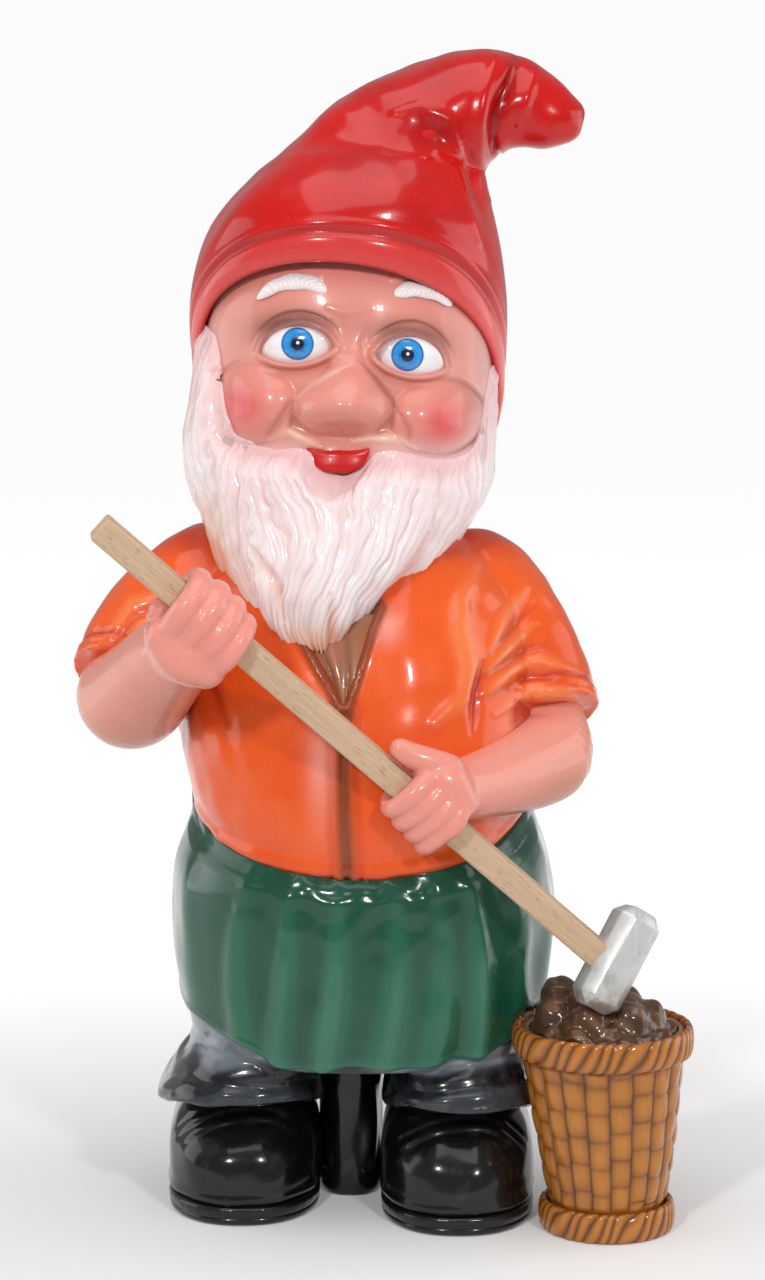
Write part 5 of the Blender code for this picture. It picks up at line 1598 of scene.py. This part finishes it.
def make_stage(sizes):
    """A pale flat floor, grey in front and glowing more and more behind the figure as a light box, soft light
    all round, two small lamps in front, and the camera.
    """
    bpy.ops.mesh.primitive_grid_add(x_subdivisions=4, y_subdivisions=4, size=30)
    floor = bpy.context.active_object
    floor.name = floor.data.name = "floor"
    floor.data.transform(Matrix.Translation((0, 0, -0.0002)))
    finish = Finish("glowing pale floor")
    cloud = finish.noise(300, 2)
    away = finish.axis("Y")
    paper = finish.mix((0.82, 0.82, 0.82), (0.8, 0.8, 0.8), cloud)
    look = finish.coat(
        Base_Color=finish.mix((0.4, 0.4, 0.4), paper, finish.step(away, -1.0, -0.45)),
        Roughness=0.6 + 0.1 * cloud,
        Specular_IOR_Level=0.1,
        # The floor glows, faintly in front and fully behind the figure, a light box that whitens the
        # background
        Emission_Color=finish.mix((0.12, 0.12, 0.12), (1, 1, 1), finish.step(away, -0.1, 1.1)),
        Emission_Strength=0.72,
    )
    floor.data.materials.append(look)
    world = bpy.data.worlds.new("studio")
    world.use_nodes = True
    tree = world.node_tree
    sky = tree.nodes["Background"]
    seen = tree.nodes.new("ShaderNodeLightPath")
    tone = tree.nodes.new("ShaderNodeMix")
    tone.data_type = "RGBA"
    tone.inputs[6].default_value = (0.3, 0.3, 0.3, 1)
    tone.inputs[7].default_value = (0.97, 0.97, 0.97, 1)
    tree.links.new(seen.outputs["Is Camera Ray"], tone.inputs[0])
    tree.links.new(tone.outputs[2], sky.inputs["Color"])
    bpy.context.scene.world = world
    for name, (place, size, power) in LAMPS.items():
        data = bpy.data.lights.new(name, "AREA")
        data.size = size
        data.energy = power
        stand(bpy.data.objects.new(name, data), place, LAMP_AIM)
    data = bpy.data.cameras.new("camera")
    data.lens = sizes.lens
    data.sensor_width = 36
    camera = bpy.data.objects.new("camera", data)
    stand(camera, CAMERA_PLACE, CAMERA_AIM)
    bpy.context.scene.camera = camera
    bpy.context.scene.view_settings.view_transform = "Standard"


# The add-on


def colour(name, description, default):
    return bpy.props.FloatVectorProperty(
        name=name, description=description, default=default, subtype="COLOR", size=3, min=0, max=1
    )


def size(name, description, default, subtype):
    return bpy.props.FloatProperty(name=name, description=description, default=default, subtype=subtype)


class GnomeSizes(bpy.types.PropertyGroup):
    """Depths of the modelled relief, and the camera's lens."""

    brim_roll: size("Brim roll", "How far the rolled brim stands out", 0.0016, "DISTANCE")
    strand_depth: size("Strand depth", "Depth of the beard's strands", 0.00125, "DISTANCE")
    fold_depth: size("Fold depth", "Strength of the folds in the clothes", 1.0, "FACTOR")
    weave_depth: size("Weave depth", "Strength of the basket's weave", 1.0, "FACTOR")
    lens: size("Lens", "Focal length of the camera", 86, "DISTANCE_CAMERA")


class GnomePaint(bpy.types.PropertyGroup):
    """The colours of the paint."""

    hat: colour("Hat", "Cap enamel", (0.54, 0.006, 0.005))
    face: colour("Face", "Face enamel", (0.71, 0.265, 0.215))
    arms: colour("Arms", "Arm enamel", (0.76, 0.285, 0.215))
    lips: colour("Lips", "Lip enamel", (0.6, 0.012, 0.012))
    beard: colour("Beard", "Beard enamel", (0.86, 0.8, 0.8))
    jacket: colour("Jacket", "Jacket enamel", (0.78, 0.098, 0.011))
    shirt: colour("Shirt", "Shirt enamel", (0.33, 0.12, 0.045))
    apron: colour("Apron", "Apron enamel", (0.016, 0.115, 0.064))
    trousers: colour("Trousers", "Trouser enamel", (0.15, 0.17, 0.2))
    shoes: colour("Shoes", "Shoe enamel", (0.004, 0.004, 0.0045))
    basket: colour("Basket", "Basket enamel", (0.38, 0.12, 0.016))
    ore: colour("Ore", "Ore enamel", (0.085, 0.036, 0.016))
    hammer: colour("Hammer", "Hammer paint", (0.62, 0.63, 0.62))
    wood: colour("Wood", "Handle wood", (0.56, 0.385, 0.245))


def begin(context):
    """Clears the selection, and gives the sizes and the paint."""
    bpy.ops.object.select_all(action="DESELECT")
    return context.scene.gnome_sizes, context.scene.gnome_paint


class GNOME_OT_stage(bpy.types.Operator):
    """Lays the floor, and sets up the light and the camera"""

    bl_idname = "gnome.stage"
    bl_label = "Stage"

    def execute(self, context):
        sizes, _ = begin(context)
        make_stage(sizes)
        return {"FINISHED"}


class GNOME_OT_hat(bpy.types.Operator):
    """Models the floppy cap with its rolled brim"""

    bl_idname = "gnome.hat"
    bl_label = "Hat"

    def execute(self, context):
        sizes, paint = begin(context)
        make_hat(sizes, paint)
        return {"FINISHED"}


class GNOME_OT_head(bpy.types.Operator):
    """Models the face, the eyes and the lips"""

    bl_idname = "gnome.head"
    bl_label = "Head"

    def execute(self, context):
        _, paint = begin(context)
        make_head(paint)
        for side in EYES:
            make_eye(side)
        make_lips(paint)
        return {"FINISHED"}


class GNOME_OT_hair(bpy.types.Operator):
    """Models the beard and the eyebrows"""

    bl_idname = "gnome.hair"
    bl_label = "Beard and eyebrows"

    def execute(self, context):
        sizes, paint = begin(context)
        look = hair_finish(paint)
        make_beard(sizes, look)
        for side in BROWS:
            make_brow(side, look)
        return {"FINISHED"}


class GNOME_OT_jacket(bpy.types.Operator):
    """Models the jacket, the shirt in its collar and the sleeves"""

    bl_idname = "gnome.jacket"
    bl_label = "Jacket"

    def execute(self, context):
        sizes, paint = begin(context)
        make_jacket(sizes, paint)
        make_shirt(paint)
        return {"FINISHED"}


class GNOME_OT_arms(bpy.types.Operator):
    """Models both arms with their fists"""

    bl_idname = "gnome.arms"
    bl_label = "Arms"

    def execute(self, context):
        _, paint = begin(context)
        look = arm_finish(paint)
        for side in FOREARMS:
            make_arm(side, look)
        return {"FINISHED"}


class GNOME_OT_trousers(bpy.types.Operator):
    """Models the trousers, the apron and its tie"""

    bl_idname = "gnome.trousers"
    bl_label = "Trousers and apron"

    def execute(self, context):
        sizes, paint = begin(context)
        grey = enamel(
            "trouser enamel", tuple(paint.trousers),
            # The dark layer: darker towards the hem, with painted shade between the legs and in the wrinkles
            [("light", (0.34, 0.38, 0.44), 0.5), ("dark", (0.006, 0.0065, 0.008), 0.95)],
            shade=(0.08, 0.09, 0.11), gloss=0.2, clear=0.35,
        )
        make_trousers(grey, sizes)
        green = enamel(
            "apron enamel", tuple(paint.apron),
            # On the apron, painted shade between the folds, and painted highlights on their crests and on the
            # hem
            [("deep", (0.004, 0.03, 0.018), 0.7), ("worn_and_sheen", (0.06, 0.2, 0.14), 0.45)],
            shade=(0.01, 0.08, 0.042), gloss=0.16, clear=0.3,
        )
        make_apron(green, sizes)
        make_apron_tie(green)
        return {"FINISHED"}


class GNOME_OT_shoes(bpy.types.Operator):
    """Models the shoes and soles, and finishes the rear post and its plug"""

    bl_idname = "gnome.shoes"
    bl_label = "Shoes and post"

    def execute(self, context):
        _, paint = begin(context)
        black = enamel(
            "shoe enamel", tuple(paint.shoes), [("worn_and_sheen", (0.03, 0.032, 0.036), 0.5)],
            shade=(0.006, 0.006, 0.007), gloss=0.16, clear=0.4, dust=0.03,
        )
        sole = enamel("sole enamel", tuple(paint.shoes), shade=(0.01, 0.01, 0.011), gloss=0.28, clear=0.4)
        for side in SHOES:
            make_shoe(side, black, sole)
        make_post(black)
        for node in ("rear_support", "filler_plug"):
            coat_node(node, sole)
        return {"FINISHED"}


class GNOME_OT_basket(bpy.types.Operator):
    """Models the wicker basket with its twisted rim and foot, and the ore"""

    bl_idname = "gnome.basket"
    bl_label = "Basket and ore"

    def execute(self, context):
        sizes, paint = begin(context)
        willow = enamel(
            "basket enamel", tuple(paint.basket),
            # Dark joints and painted shade inside, and painted highlights on the crests in amber
            [("dark", (0.06, 0.018, 0.006), 0.85), ("amber_highlight", (0.6, 0.24, 0.035), 0.5)],
            shade=(0.2, 0.055, 0.01), gloss=0.18, clear=0.4, streaks=(0.17, 0.045, 0.01),
        )
        make_basket(willow, sizes)
        half = ROPE_HEIGHT / 2
        make_rope("basket_rim_rope", 118 - half + 2, 45.5, BASKET_LEAN, 38, willow, "basket_rim", sizes)
        make_rope("basket_foot_rope", half, 32.5, 0, 32, willow, "basket_foot", sizes)
        make_ore(paint)
        return {"FINISHED"}


class GNOME_OT_hammer(bpy.types.Operator):
    """Models the hammer's head and finishes its wooden handle"""

    bl_idname = "gnome.hammer"
    bl_label = "Hammer"

    def execute(self, context):
        _, paint = begin(context)
        make_hammer(paint)
        coat_node("hammer_handle", wood_finish(paint))
        return {"FINISHED"}


STEPS = (
    GNOME_OT_stage, GNOME_OT_hat, GNOME_OT_head, GNOME_OT_hair, GNOME_OT_jacket, GNOME_OT_arms,
    GNOME_OT_trousers, GNOME_OT_shoes, GNOME_OT_basket, GNOME_OT_hammer,
)


class GNOME_PT_panel(bpy.types.Panel):
    """Lists the gnome's pieces, sizes and colours"""

    bl_idname = "GNOME_PT_panel"
    bl_label = "Garden gnome"
    bl_space_type = "VIEW_3D"
    bl_region_type = "UI"
    bl_category = "Gnome"

    def draw(self, context):
        for group in (context.scene.gnome_sizes, context.scene.gnome_paint):
            for label in group.__annotations__:
                self.layout.prop(group, label)
        for step in STEPS:
            self.layout.operator(step.bl_idname)


CLASSES = (GnomeSizes, GnomePaint, *STEPS, GNOME_PT_panel)


def register():
    for made in CLASSES:
        bpy.utils.register_class(made)
    bpy.types.Scene.gnome_sizes = bpy.props.PointerProperty(type=GnomeSizes)
    bpy.types.Scene.gnome_paint = bpy.props.PointerProperty(type=GnomePaint)


def unregister():
    del bpy.types.Scene.gnome_paint
    del bpy.types.Scene.gnome_sizes
    for made in reversed(CLASSES):
        bpy.utils.unregister_class(made)


def main():
    register()
    for step in STEPS:
        group, name = step.bl_idname.split(".")
        getattr(getattr(bpy.ops, group), name)()


if __name__ == "__main__":
    main()
